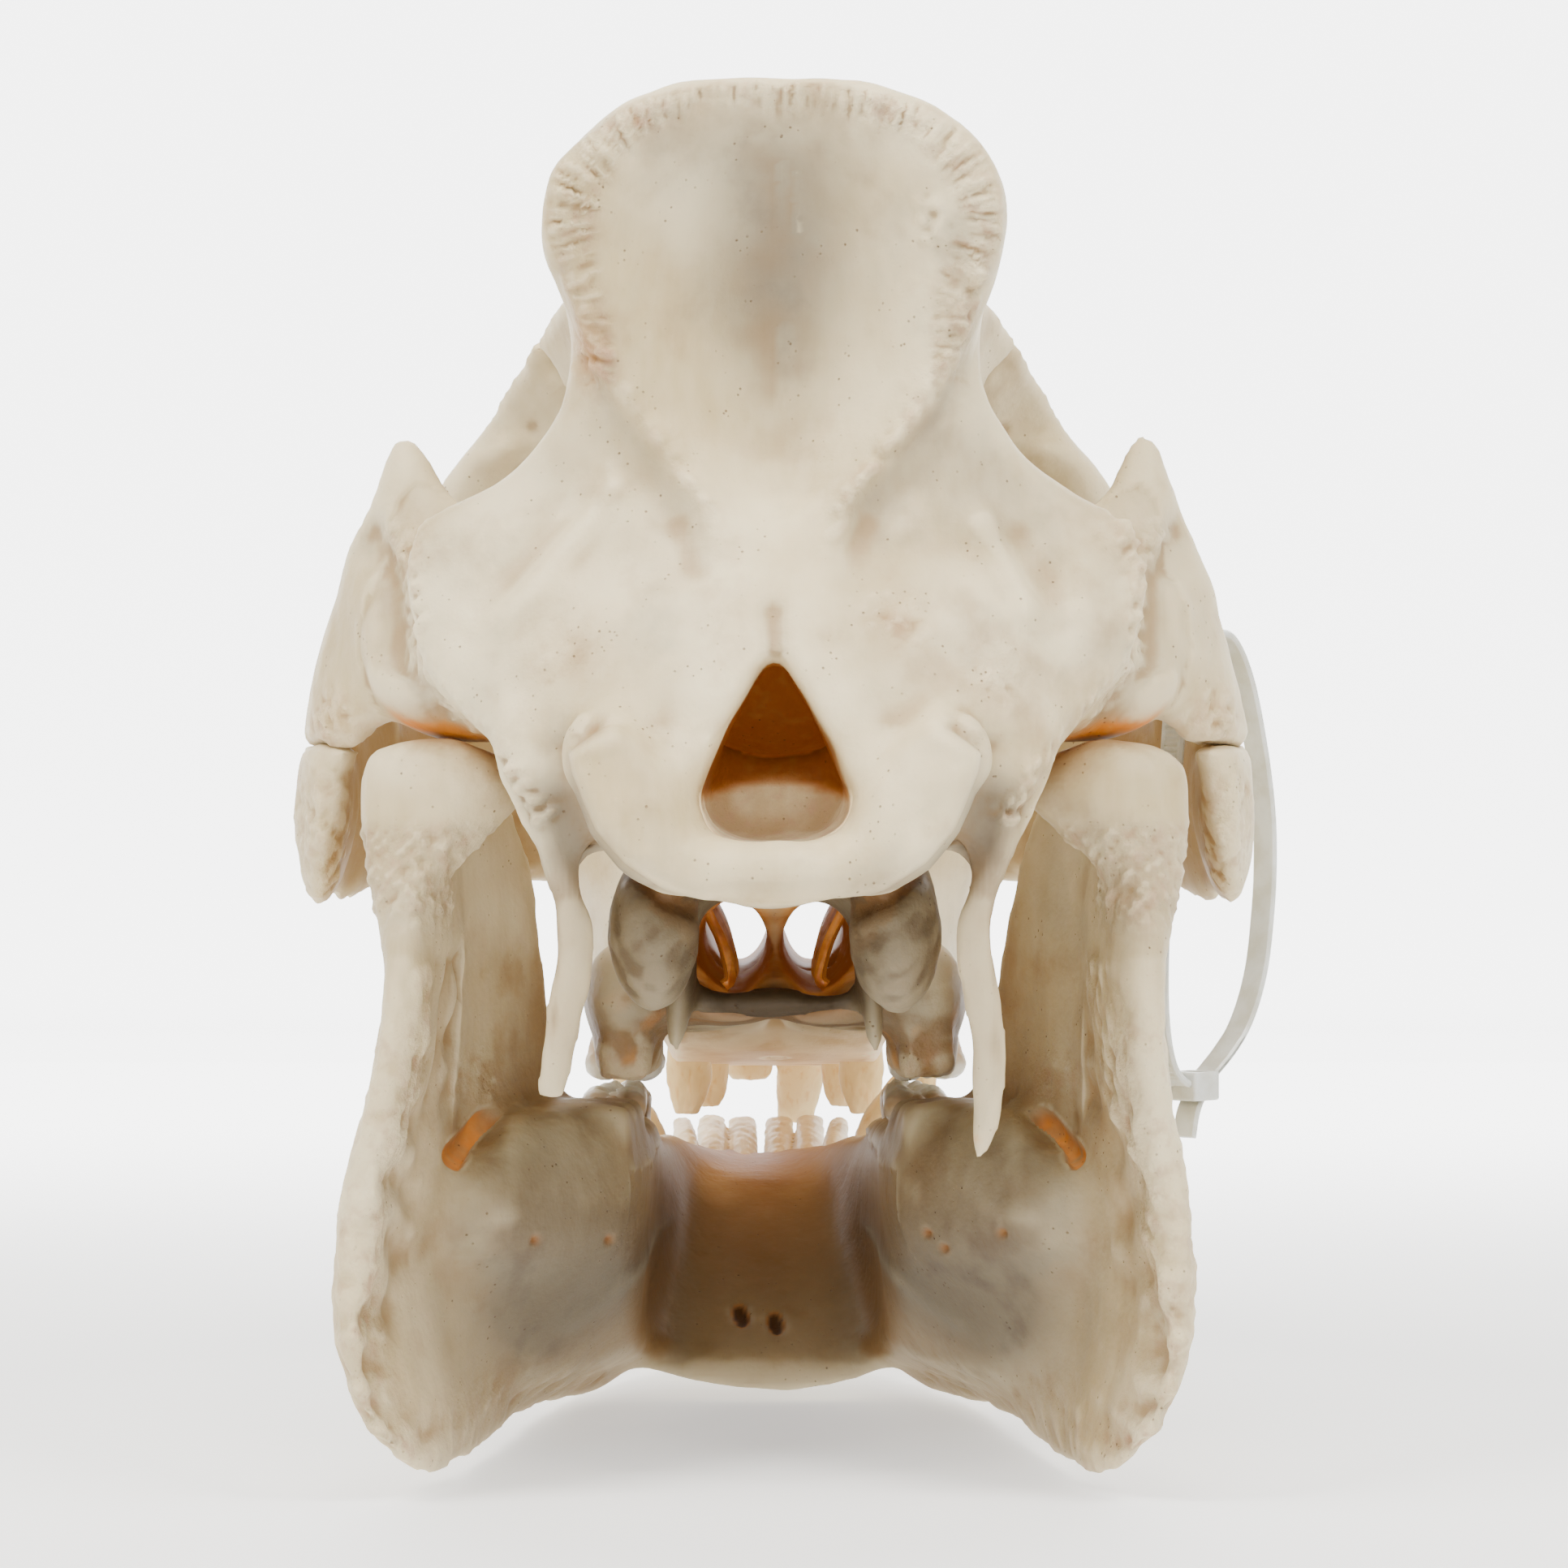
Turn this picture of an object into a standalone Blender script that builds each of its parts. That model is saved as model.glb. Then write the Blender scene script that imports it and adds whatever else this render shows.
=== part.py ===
"""A pig skull with its lower jaw, life size, standing on the chin and on both jaw angles.

The snout points to -Y, the animal's left is +X and the floor is Z = 0. Sizes are in
millimetres and are turned to metres where a mesh is made. The upper skull is built as one
body from lofts, tubes and balls, melted together, carved, and then parted along its sutures
with thin cuts. The lower jaw is one bone. A cable tie hangs round the right cheek arch.
"""

import math

import bmesh
import bpy
import numpy as np
from mathutils import Matrix, Vector

MM = 0.001
GAP = 0.3
# Half width of whatever has to reach past the whole skull
WIDE = 120

# Voxels that melt the pieces together, and the triangles left after thinning
VOXEL = 1.3
CRANIUM_TRIANGLES = 6300
MANDIBLE_TRIANGLES = 2500
# What is left of those that teeth have grown on
MAXILLA_TRIANGLES = 1650
JAW_TRIANGLES = 3700

# Trunk of the skull, section by section along Y: height of the roof, how far its edge lies
# lower, half widths at that edge, at the waist and at the base, and heights of waist and base
TRUNK = (
    # y, roof, drop, w_roof, w_waist, z_waist, w_base, z_base
    (-36, 219, 8, 35.5, 33, 152, 20, 103),
    (-45, 216, 8, 32, 31.6, 152, 20, 102),
    (-55, 212, 7, 30, 30.5, 152, 19, 100),
    (-70, 206, 6, 34.5, 29, 152, 18, 98),
    (-85, 200, 5, 40, 27, 150, 17, 96),
    (-105, 191, 6, 48.5, 25, 146, 17, 90),
    (-122, 184, 12, 56, 26, 140, 24, 78),
    (-140, 175, 8, 52, 33, 128, 31, 71),
    (-156, 165, 7, 46, 41, 122, 33, 69),
    (-170, 157, 8, 36, 39, 118, 32.5, 68),
    (-186, 149, 7, 29, 32, 109, 31, 68),
    (-206, 140, 6, 23, 26, 102, 30, 67),
    (-230, 131, 5, 20, 23, 95, 28, 64),
    (-255, 123, 5, 17, 19, 90, 22, 61),
    (-270, 117, 5, 13, 15, 86, 16.5, 58),
    (-281, 111, 5, 9.5, 12, 84, 13, 58.5),
    (-289, 104.5, 4, 3.5, 6, 84, 5, 63.5),
)
BROW_THICKNESS = 10

# Nape plate, slice by slice from the top: half width, the ridge's x, and the y of the
# hollow between the ridges, of the ridge, of the margin and of the plate's front
NAPE = (
    # z, half, x_ridge, y_hollow, y_ridge, y_margin, y_front
    (227.3, 12, 6, -15, -15, -16, -25),
    (224, 24, 14, -17, -15, -16, -33),
    (217, 33, 24, -21, -15, -15, -44),
    (208, 37.5, 30, -27, -16, -15, -43),
    (199, 36.8, 31, -32, -19, -18, -42),
    (190, 33.3, 29, -34, -22, -25, -44),
    (178, 34.3, 25, -35, -26, -33, -46),
    (168, 41, 17, -34, -27, -37, -47),
    (162, 49, 12, -31, -26, -38, -47),
    (158, 58, 11, -28, -25, -38, -48),
    (150, 61, 12, -21, -22, -38, -49),
    (142, 60, 15, -16, -17, -36, -48),
    (133, 57, 20, -12, -14, -33, -46),
    (124, 49, 24, -9, -12, -28, -44),
    (114, 39.5, 25, -9, -11, -25, -42),
    (104, 33, 21, -12, -16, -24, -42),
)

# Cheek arch, from its root behind the jaw joint round to the face
ARCH = (
    # x, y, z, half thickness, half height
    (34, -49, 139, 9, 12),
    (48, -53, 142, 8.5, 15),
    (58, -57, 146, 7.5, 18),
    (65, -61, 148, 5.5, 26),
    (70.5, -65, 138, 5, 27),
    (74.5, -70, 130, 4.6, 24),
    (77.3, -80, 121, 4.4, 22),
    (77.8, -93, 117, 4.4, 20),
    (76.3, -108, 115, 4.4, 18),
    (73, -124, 114, 4.8, 17),
    (67, -142, 114, 5.5, 17),
    (57, -160, 113, 7.5, 18),
    (44, -176, 111, 9, 16),
    (34, -192, 107, 8, 11),
    (28, -208, 104, 5, 6),
)
ARCH_LEAN = 0.14
CHEEK_LOBE = (
    (77, -98, 108, 4, 12),
    (77, -82, 106, 4, 13),
    (76, -71, 107, 4, 12),
    (75, -63, 111, 3, 8),
)
CHEEK_HORN = (
    # x, y, z, half width, half depth
    (71.5, -120, 122, 4, 9),
    (71, -119, 131, 3.5, 7),
    (70, -118, 138, 3, 4.5),
    (69.5, -117.5, 143, 2, 2.6),
)
BROW_HORN = (
    # x, y, z, half width, half depth
    (45, -114, 175, 9, 9),
    (53, -120, 169.5, 7.4, 8),
    (57.5, -123.5, 162.5, 5.2, 6.6),
    (59.2, -125, 155.5, 3.4, 4.4),
)

# Hollows of the upper skull: centre and half sizes
ORBIT = ((62, -146, 145), (26, 20.5, 16.5))
CHEEK_HOLLOW = ((41, -196, 125), (11, 26, 13))
BRAIN = ((0, -68, 143), (24, 30, 24))
EAR_HOLE = ((62, -48, 157), (8, 4, 5))
NOSE_NOTCH = ((0, -296, 85), (40, 24, 14.5))

# Great hole of the nape, as half widths from its floor up to its tip
GREAT_HOLE = ((105, 6), (107.5, 10.5), (111, 12.4), (116, 11), (124, 7.4), (130, 3.8), (135, 1.4))
GREAT_HOLE_DEPTH = 60

# Knuckles beside the great hole
KNUCKLE = ((23, -12, 111), (9.8, 11.8, 17.5))
KNUCKLE_TILT = math.radians(27)
BASE_BARS = (
    ((0, -9, 101), (18, 8.5, 6.5)),
    ((0, -45, 100), (14, 42, 6)),
    ((0, -85, 100), (11, 30, 6)),
)

# Nose passages, from the rear opening to the nostrils: centre and half sizes at each Y
PASSAGE = (
    # y, x, z, half width, half height
    (-78, 7.6, 87, 6.6, 8.5),
    (-100, 7.5, 86, 6.4, 8.5),
    (-150, 7.4, 86, 6.4, 9),
    (-220, 7.3, 88, 6.3, 11),
    (-262, 7.3, 89, 6.4, 12),
    (-300, 7.4, 88, 6, 12),
)

# Processes that hang down beside the nape
PROCESS = (
    # x, y, z, half width, half depth
    (39, -27, 126, 9, 7),
    (35.5, -24, 110, 7, 5.5),
    (32.3, -24, 96, 4.7, 4),
    (32.8, -26, 84, 4.1, 3.5),
    (35, -29, 72, 3.6, 3.1),
)
PROCESS_TIP_LEFT = ((36.2, -30, 62, 3.2, 2.7),)
PROCESS_TIP_RIGHT = ((34.6, -31, 62, 3.3, 2.8), (32.4, -32, 52.5, 2.8, 2.4))

BULLA = ((20.5, -66, 90), (8, 13, 15))
WING_PLATE = (
    (14.5, -84, 96, 3.5, 9),
    (15.5, -92, 86, 2.6, 9),
    (17, -92, 76, 2.2, 5.5),
    (17.5, -91, 66.5, 1.7, 3),
)
TUBER = ((26, -113, 77), (9, 17, 10.5))
PALATE = ((0, -118, 76.5), (26, 27, 6))
PALATE_VAULT = (
    # x, y, z, half width, half height
    (0, -80, 62, 18.5, 11.5),
    (0, -130, 61, 18.5, 11),
    (0, -180, 60, 18.5, 9.5),
    (0, -225, 58, 17, 8),
    (0, -262, 57, 10, 6),
)
JOINT_SHELF = ((50, -54, 130), (19, 14, 7.6))
EAR_BLOCK = ((60, -57, 141), (10, 8, 15))
CANINE_SOCKET = ((24, -226, 72), (6, 12, 9))
CHEEK_TUNNEL = ((37, -193, 104), (8, 5, 3.5))

# Cheek teeth of one side, from the front: middle, length, width, cusps along and level of tip
UPPER_CHEEK = (
    # y, x, length, width, cusps, z_tip
    (-207, 26.5, 7, 4.5, 1, 58.8),
    (-195.5, 27, 11, 6, 2, 58.8),
    (-182.5, 27.5, 12.5, 8.5, 2, 59.2),
    (-169.5, 28, 11.5, 11.5, 1, 59.6),
    (-155, 28, 15.5, 13, 2, 60),
    (-136.5, 27.5, 19, 14.5, 2, 60.4),
    (-113, 26.5, 26, 14.5, 3, 60.8),
)
LOWER_CHEEK = (
    (-200, 24.5, 9, 4, 1, 56),
    (-188.5, 25.5, 11, 5, 2, 57.6),
    (-175.5, 26, 12.5, 6.5, 2, 58.2),
    (-162, 26.5, 13, 8.5, 2, 58.7),
    (-147, 27, 15, 10, 2, 59.2),
    (-129, 27.5, 18.5, 12, 2, 59.6),
    (-106, 28, 26, 13, 3, 60),
)
ROOT_DEPTH = 13
TOOTH_VOXEL = 0.7
UPPER_ROW_TRIANGLES = 440
LOWER_ROW_TRIANGLES = 400

# Front teeth and canines of one side, each from its root to its tip. Of the first upper pair
# only the right one is whole, the left one is a stump
UPPER_FIRST = (
    # x, y, z, half width, half depth
    (5.6, -266, 73, 4.4, 4.8),
    (5.6, -274, 60, 4.9, 4.4),
    (4.6, -283, 44, 4.1, 1.7),
)
UPPER_STUMP = (
    (5.6, -266, 73, 4.4, 4.8),
    (5.6, -274, 60, 4.8, 4.4),
    (5.4, -278, 52, 4.2, 3),
)
UPPER_SECOND = ((12.6, -259, 70, 3.4, 4.4), (13.6, -263, 60, 3.9, 3.8), (14.2, -266, 47.5, 3, 1.7))
UPPER_THIRD = ((17.6, -245, 70, 2.8, 4.2), (18.8, -248, 62, 3.2, 4), (19.6, -250, 47, 2.4, 1.8))
UPPER_CANINE = ((24, -225, 74, 3.6, 4.6), (27.5, -229, 62, 3.4, 4), (31, -229, 52, 1.3, 1.6))
LOWER_FRONT = (
    # x, y, z, half width, half height
    ((3.5, -246, 31, 2.8, 3.4), (3.7, -264, 36.5, 3.1, 3.4), (3.8, -278, 41.6, 3, 1.8)),
    ((9.7, -244, 32, 2.8, 3.2), (10.2, -260, 37, 3, 3.2), (10.3, -276, 42.6, 2.8, 2)),
    ((14.2, -240, 36, 2.2, 3), (14.8, -252, 40, 2.4, 2.8), (15.4, -263, 43.5, 2, 1.6)),
)
LOWER_CANINE = ((19, -234, 34, 3, 3.6), (23.5, -240, 46, 3, 3.4), (28, -241, 55, 1.2, 1.4))

# Sutures that part the upper skull. The first two are lines of (y, z) seen from the side, one
# behind the forehead and one below it; the nose bones and cheek bones are regions of
# (y, x_in, x_out, z_low, z_high)
CROWN_SUTURE = (
    (-86, 245), (-89, 205), (-93, 185), (-97, 168), (-104, 150), (-107, 130), (-105, 112),
    (-98, 98), (-97, 50),
)
BROW_SUTURE = ((-60, 126), (-120, 126), (-150, 130), (-160, 134), (-168, 145), (-174, 170))
NOSE_REGION = (
    (-150, 0.15, 19, 125, 190),
    (-180, 0.15, 20, 122, 190),
    (-220, 0.15, 18.5, 114, 190),
    (-255, 0.15, 15.5, 106, 190),
    (-300, 0.15, 14, 92, 190),
)
CHEEK_REGION = (
    (-40, 66, 110, 60, 121),
    (-94, 67.5, 110, 60, 121),
    (-107, 66, 110, 60, 152),
    (-124, 63, 110, 60, 152),
    (-142, 57.5, 110, 60, 150),
    (-158, 50, 110, 60, 142),
    (-169, 46, 110, 60, 136),
)
# The suture in front of the eye tooth, as (y, z) from the gum up to the nose bone
SNOUT_SUTURE = ((-236, 40), (-235, 70), (-217, 116), (-205, 160))

# Lower jaw: one half, section by section along Y. The x values run evenly from the lower
# edge up to the upper one
JAW = (
    # y, z_low, z_high, five x values, half thickness low and high
    (-30, 22, 50, 67, 67.1, 67.2, 66.7, 65.5, 2.2, 2.2),
    (-32.5, 10, 78, 64, 67, 66.5, 63, 60.2, 3, 3),
    (-37, 3, 98, 60, 67, 65.2, 60.3, 60.5, 3.5, 3.4),
    (-46, -1.2, 108, 55.5, 65, 62.8, 59.3, 58, 4.2, 4),
    (-62, -1.5, 107, 52, 60, 58.5, 56.5, 56, 4.5, 2.6),
    (-78, -1.5, 124, 50, 56, 55, 54.5, 56, 4.5, 1.9),
    (-90, -1.2, 119, 48.5, 51, 50, 50, 51, 5, 2.4),
    (-102, 0, 108, 47, 47.5, 45.5, 44.5, 45, 5.5, 3),
    (-111, 0.7, 77, 46, 44, 41.5, 42, 43, 6, 4),
    (-119, 0.7, 57, 45, 42.5, 39, 37.5, 36.5, 6.3, 6),
    (-130, 0.7, 54, 43.5, 40.5, 35.5, 32, 29, 6.5, 9),
    (-152, -0.5, 53, 39, 36, 32, 29, 27, 7, 8.5),
    (-170, -1.5, 52, 34, 32, 29.5, 27, 26, 8, 7),
    (-195, 3, 51, 27, 26, 25.5, 25, 25, 8.5, 5),
    (-215, 9, 48.5, 19, 20.5, 21.5, 22.5, 23.5, 9, 4),
    (-235, 16, 45, 11, 13, 15, 17, 20, 8, 4),
    (-255, 23, 41, 7, 8.5, 10, 12, 14.5, 7, 4),
    (-268, 29, 39, 5, 6, 7, 8, 9, 4.5, 3.5),
)
JAW_LEAN = 1.8
JAW_LEAN_FROM = 90
JAW_LEAN_TO = 45
CHIN_LEAN = 1.2
CHIN_LEAN_FROM = -150
CHIN_LEAN_TO = -250
# Level at which the jaw is cut flat where it stands
FLOOR = -1.05
JAW_KNUCKLE = ((54.6, -50, 114.9), (14.8, 9, 7.8))
JAW_KNUCKLE_TILT = math.radians(-9)
JAW_NECK = (
    # x, y, z, half width, half depth
    (54.8, -50, 114, 14.3, 8.5),
    (55, -50, 111, 14.6, 8.5),
    (58, -49, 105.5, 10.8, 7.5),
    (60.7, -47, 100.5, 7.8, 7),
    (61.6, -45, 94.5, 5.6, 6),
    (61.3, -42, 89.6, 4.2, 5.5),
    (61.2, -38, 84, 3.3, 5),
)
# Bone round the roots of the lower cheek teeth, and the nerve's hole on the inner side
JAW_SOCKETS = (
    # x, y, z, half thickness, half height
    (51, -64, 42, 3.5, 7),
    (47, -74, 42, 7, 11),
    (42, -84, 42, 10, 15),
    (37, -94, 42, 12, 17),
    (32.5, -105, 42, 12, 17.5),
    (30, -120, 43, 10.5, 14.5),
    (28, -138, 43.5, 8.6, 11.5),
    (27, -156, 43, 7, 11),
    (26, -178, 42, 5.6, 9.5),
)
JAW_HOLE = ((50, -76, 56), (5, 5, 5))
# Floor of the chin trough, section by section: half width, underside and upper side. Its sides
# rise by CHIN_RISE
CHIN_RISE = 9
CHIN = (
    # y, half width, z_low, z_high
    (-168, 34, -1.4, 5),
    (-180, 31, 0, 12),
    (-198, 27, 4, 22),
    (-215, 22, 9, 31),
    (-232, 17, 15, 36),
    (-250, 13, 22, 37),
    (-266, 9, 29, 37.5),
)

# Cable tie round the right cheek arch. Its loop lies in an upright plane through TIE_PLACE;
# points run round it as the distance outwards in that plane and the height
TIE_PLACE = (-77.6, -93)
TIE_TURN = math.radians(47)
TIE_LOOP = (
    (-4.5, 141), (1.5, 140), (6.5, 133), (10.4, 121), (12.6, 110), (13, 101), (12.3, 92),
    (10.1, 81), (5, 71.5), (-3.5, 64.5), (-9, 62), (-14, 66), (-15.5, 76), (-15.2, 92),
    (-13.6, 110), (-12.6, 125), (-12.3, 134), (-9.6, 139.8),
)
TIE_TAIL = ((2, 68.5), (-4.5, 63.5), (-8.5, 58.5), (-10, 53.5))
TIE_WIDTH = 4.8
TIE_THICKNESS = 1.3
TIE_HEAD = (7, 6.4, 5)
TIE_HEAD_AT = (-7.5, 62.3)

BONE = (0.70, 0.64, 0.52)
NYLON = (0.62, 0.63, 0.58)
BONE_ROUGHNESS = 0.6
NYLON_ROUGHNESS = 0.35


def clear_scene():
    for obj in list(bpy.data.objects):
        bpy.data.objects.remove(obj)


def in_collection(name):
    """The named collection, made and linked to the scene when it isn't there yet."""
    found = bpy.data.collections.get(name)
    if not found:
        found = bpy.data.collections.new(name)
        bpy.context.scene.collection.children.link(found)
    return found


def new_object(name, bm, collection="pig_skull"):
    """A mesh object from a bmesh in millimetres."""
    bmesh.ops.scale(bm, vec=(MM, MM, MM), verts=bm.verts)
    mesh = bpy.data.meshes.new(name)
    bm.to_mesh(mesh)
    bm.free()
    obj = bpy.data.objects.new(name, mesh)
    in_collection(collection).objects.link(obj)
    return obj


def smooth_rows(rows, steps):
    """Catmull-Rom through rows of sizes, each span cut in the given number of steps."""
    rows = np.array(rows, float)
    ends = np.vstack([2 * rows[0] - rows[1], rows, 2 * rows[-1] - rows[-2]])
    found = []
    for before, start, end, after in zip(ends, ends[1:], ends[2:], ends[3:]):
        for t in np.arange(steps) / steps:
            found.append(
                0.5 * (2 * start + (end - before) * t
                       + (2 * before - 5 * start + 4 * end - after) * t**2
                       + (3 * start - before - 3 * end + after) * t**3)
            )
    return np.array(found + [rows[-1]])


def loft(name, rings):
    """A closed body through rings of equally many points, its ends capped."""
    bm = bmesh.new()
    made = [[bm.verts.new(point) for point in ring] for ring in rings]
    for ring, following in zip(made, made[1:]):
        for i, vert in enumerate(ring):
            j = (i + 1) % len(ring)
            bm.faces.new((vert, ring[j], following[j], following[i]))
    bm.faces.new(made[0])
    bm.faces.new(made[-1])
    bmesh.ops.recalc_face_normals(bm, faces=bm.faces)
    return new_object(name, bm, "blanks")


def tube(name, rows, steps=5, around=20, lean=0.0):
    """A bar through (x, y, z, half thickness, half height), its sections upright."""
    rows = smooth_rows(rows, steps)
    rings = []
    for i, (x, y, z, thick, high) in enumerate(rows):
        along = rows[min(i + 1, len(rows) - 1)] - rows[max(i - 1, 0)]
        side = Vector((along[1], -along[0], 0)).normalized()
        rings.append([
            Vector((x - lean * high * math.sin(t), y, z + high * math.sin(t)))
            + side * (thick * math.cos(t))
            for t in np.linspace(0, 2 * math.pi, around, endpoint=False)
        ])
    return loft(name, rings)


def hanger(name, rows, steps=5, around=16):
    """A bar through (x, y, z, half width, half depth), its sections level."""
    return loft(name, [
        [
            (x + wide * math.cos(t), y + deep * math.sin(t), z)
            for t in np.linspace(0, 2 * math.pi, around, endpoint=False)
        ]
        for x, y, z, wide, deep in smooth_rows(rows, steps)
    ])


def ball(name, centre, half_sizes, turn=Matrix()):
    bm = bmesh.new()
    bmesh.ops.create_icosphere(bm, subdivisions=4, radius=1)
    bmesh.ops.transform(bm, matrix=Matrix.Diagonal((*half_sizes, 1)), verts=bm.verts)
    bmesh.ops.transform(bm, matrix=Matrix.Translation(centre) @ turn, verts=bm.verts)
    return new_object(name, bm, "blanks")


def mirrored(obj):
    """A copy of the object on the animal's other side."""
    bm = bmesh.new()
    bm.from_mesh(obj.data)
    bmesh.ops.scale(bm, vec=(-1 / MM, 1 / MM, 1 / MM), verts=bm.verts)
    bmesh.ops.reverse_faces(bm, faces=bm.faces)
    return new_object(obj.name + "_other", bm, "blanks")


def other_side(obj):
    """Moves the object over to the animal's other side."""
    other = mirrored(obj)
    bpy.data.objects.remove(obj)
    return other


def both(obj):
    return [obj, mirrored(obj)]


def with_modifier(obj, kind, **settings):
    """Adds one modifier and applies it."""
    modifier = obj.modifiers.new(kind.lower(), kind)
    for name, value in settings.items():
        setattr(modifier, name, value)
    graph = bpy.context.evaluated_depsgraph_get()
    mesh = bpy.data.meshes.new_from_object(obj.evaluated_get(graph))
    obj.modifiers.clear()
    obj.data = mesh
    return obj


def joined(name, pieces):
    """One object holding the meshes of all the pieces, which are removed."""
    bm = bmesh.new()
    for piece in pieces:
        bm.from_mesh(piece.data)
        bpy.data.objects.remove(piece)
    bmesh.ops.scale(bm, vec=(1 / MM, 1 / MM, 1 / MM), verts=bm.verts)
    return new_object(name, bm, "blanks")


def melted(name, pieces, voxel=VOXEL):
    """One closed skin round all the pieces."""
    body = joined(name, pieces)
    return with_modifier(body, "REMESH", mode="VOXEL", voxel_size=voxel * MM)


def carve(body, cutter, operation="DIFFERENCE", solver="MANIFOLD"):
    with_modifier(body, "BOOLEAN", operation=operation, object=cutter, solver=solver)
    bpy.data.objects.remove(cutter)
    return body


def largest_surface(obj):
    """Keeps only the biggest connected surface of the object."""
    bm = bmesh.new()
    bm.from_mesh(obj.data)
    left, islands = set(bm.verts), []
    while left:
        island, edge = set(), [left.pop()]
        while edge:
            vert = edge.pop()
            island.add(vert)
            for link in vert.link_edges:
                other = link.other_vert(vert)
                if other in left:
                    left.discard(other)
                    edge.append(other)
        islands.append(island)
    keep = max(islands, key=len)
    bmesh.ops.delete(bm, geom=[v for v in bm.verts if v not in keep], context="VERTS")
    bm.to_mesh(obj.data)
    bm.free()
    return obj


def thinned(obj, triangles):
    with_modifier(obj, "TRIANGULATE")
    return with_modifier(obj, "DECIMATE", ratio=triangles / len(obj.data.polygons))


def trunk_ring(row):
    """One section across the trunk, round from the roof to the base and back."""
    y, roof, drop, w_roof, w_waist, z_waist, w_base, z_base = row
    edge = roof - drop
    half = [
        (0, roof),
        (0.55 * w_roof, roof - 0.2 * drop),
        (w_roof, edge),
        (w_waist + 0.6 * (w_roof - w_waist), edge - BROW_THICKNESS),
        (w_waist, z_waist),
        (0.5 * (w_waist + w_base), 0.45 * z_waist + 0.55 * z_base),
        (w_base, z_base + 5),
        (0.7 * w_base, z_base),
        (0, z_base),
    ]
    whole = half + [(-x, z) for x, z in half[-2:0:-1]]
    closed = whole[-1:] + whole + whole[:2]
    curve = smooth_rows(closed, 4)[4:-8]
    return [(x, y, z) for x, z in curve]


def nape_ring(row):
    z, half, x_ridge, y_hollow, y_ridge, y_margin, y_front = row
    behind = [
        (0, y_hollow), (0.5 * x_ridge, 0.6 * y_hollow + 0.4 * y_ridge), (x_ridge, y_ridge),
        (0.5 * (x_ridge + half), 0.5 * (y_ridge + y_margin) + 1), (half - 1.5, y_margin),
        (half, y_margin - 2.5), (half - 1, y_front + 1.5), (half - 5, y_front),
        (0.4 * half, y_front), (0, y_front),
    ]
    whole = behind + [(-x, y) for x, y in behind[-2:0:-1]]
    closed = whole[-1:] + whole + whole[:2]
    curve = smooth_rows(closed, 3)[3:-6]
    return [(x, y, z) for x, y in curve]


def great_hole():
    """The three-cornered way in from the nape to the brain's hollow."""
    left = [(half, z) for z, half in GREAT_HOLE]
    outline = left + [(-half, z) for half, z in reversed(left)]
    return loft("great_hole", [[(x, y, z) for x, z in outline] for y in (20, -GREAT_HOLE_DEPTH)])


def tooth_row(name, teeth, way):
    """The cheek teeth of one side, each a group of blunt cusps; way is 1 for teeth that grow up."""
    cusps = []
    for y, x, length, width, along, z_tip in teeth:
        rows = 1 if width < 8 else 2
        step = length / along
        for i in range(along):
            for j in range(rows):
                wide = 0.5 * width / rows * 1.12
                deep = 0.5 * step * 1.08
                back = length / 2 - step * (i + 0.5)
                # The rear of the last tooth is lower and narrower than its front
                small = 1 - 0.12 * i if along == 3 else 1
                out = (j - 0.5) * 0.48 * width * small if rows == 2 else 0
                at = (x + out, y - back, z_tip)
                levels = ((ROOT_DEPTH, 0.72), (6, 0.92), (3.2, 1), (1.2, 0.72), (0, 0.25))
                cusps.append(hanger("cusp", [
                    (at[0], at[1], at[2] - way * down, wide * swell * small, deep * swell)
                    for down, swell in levels
                ], steps=2, around=12))
    return melted(name, cusps, voxel=TOOTH_VOXEL)


def united(body, pieces, triangles=None):
    """Fuses closed pieces to the body, each with its root sunk in it, and thins the whole."""
    group = in_collection("growths")
    for piece in pieces:
        group.objects.link(piece)
    with_modifier(
        body, "BOOLEAN", operation="UNION", operand_type="COLLECTION", collection=group, solver="MANIFOLD"
    )
    for piece in pieces:
        bpy.data.objects.remove(piece)
    largest_surface(body)
    return thinned(body, triangles) if triangles else body


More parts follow.
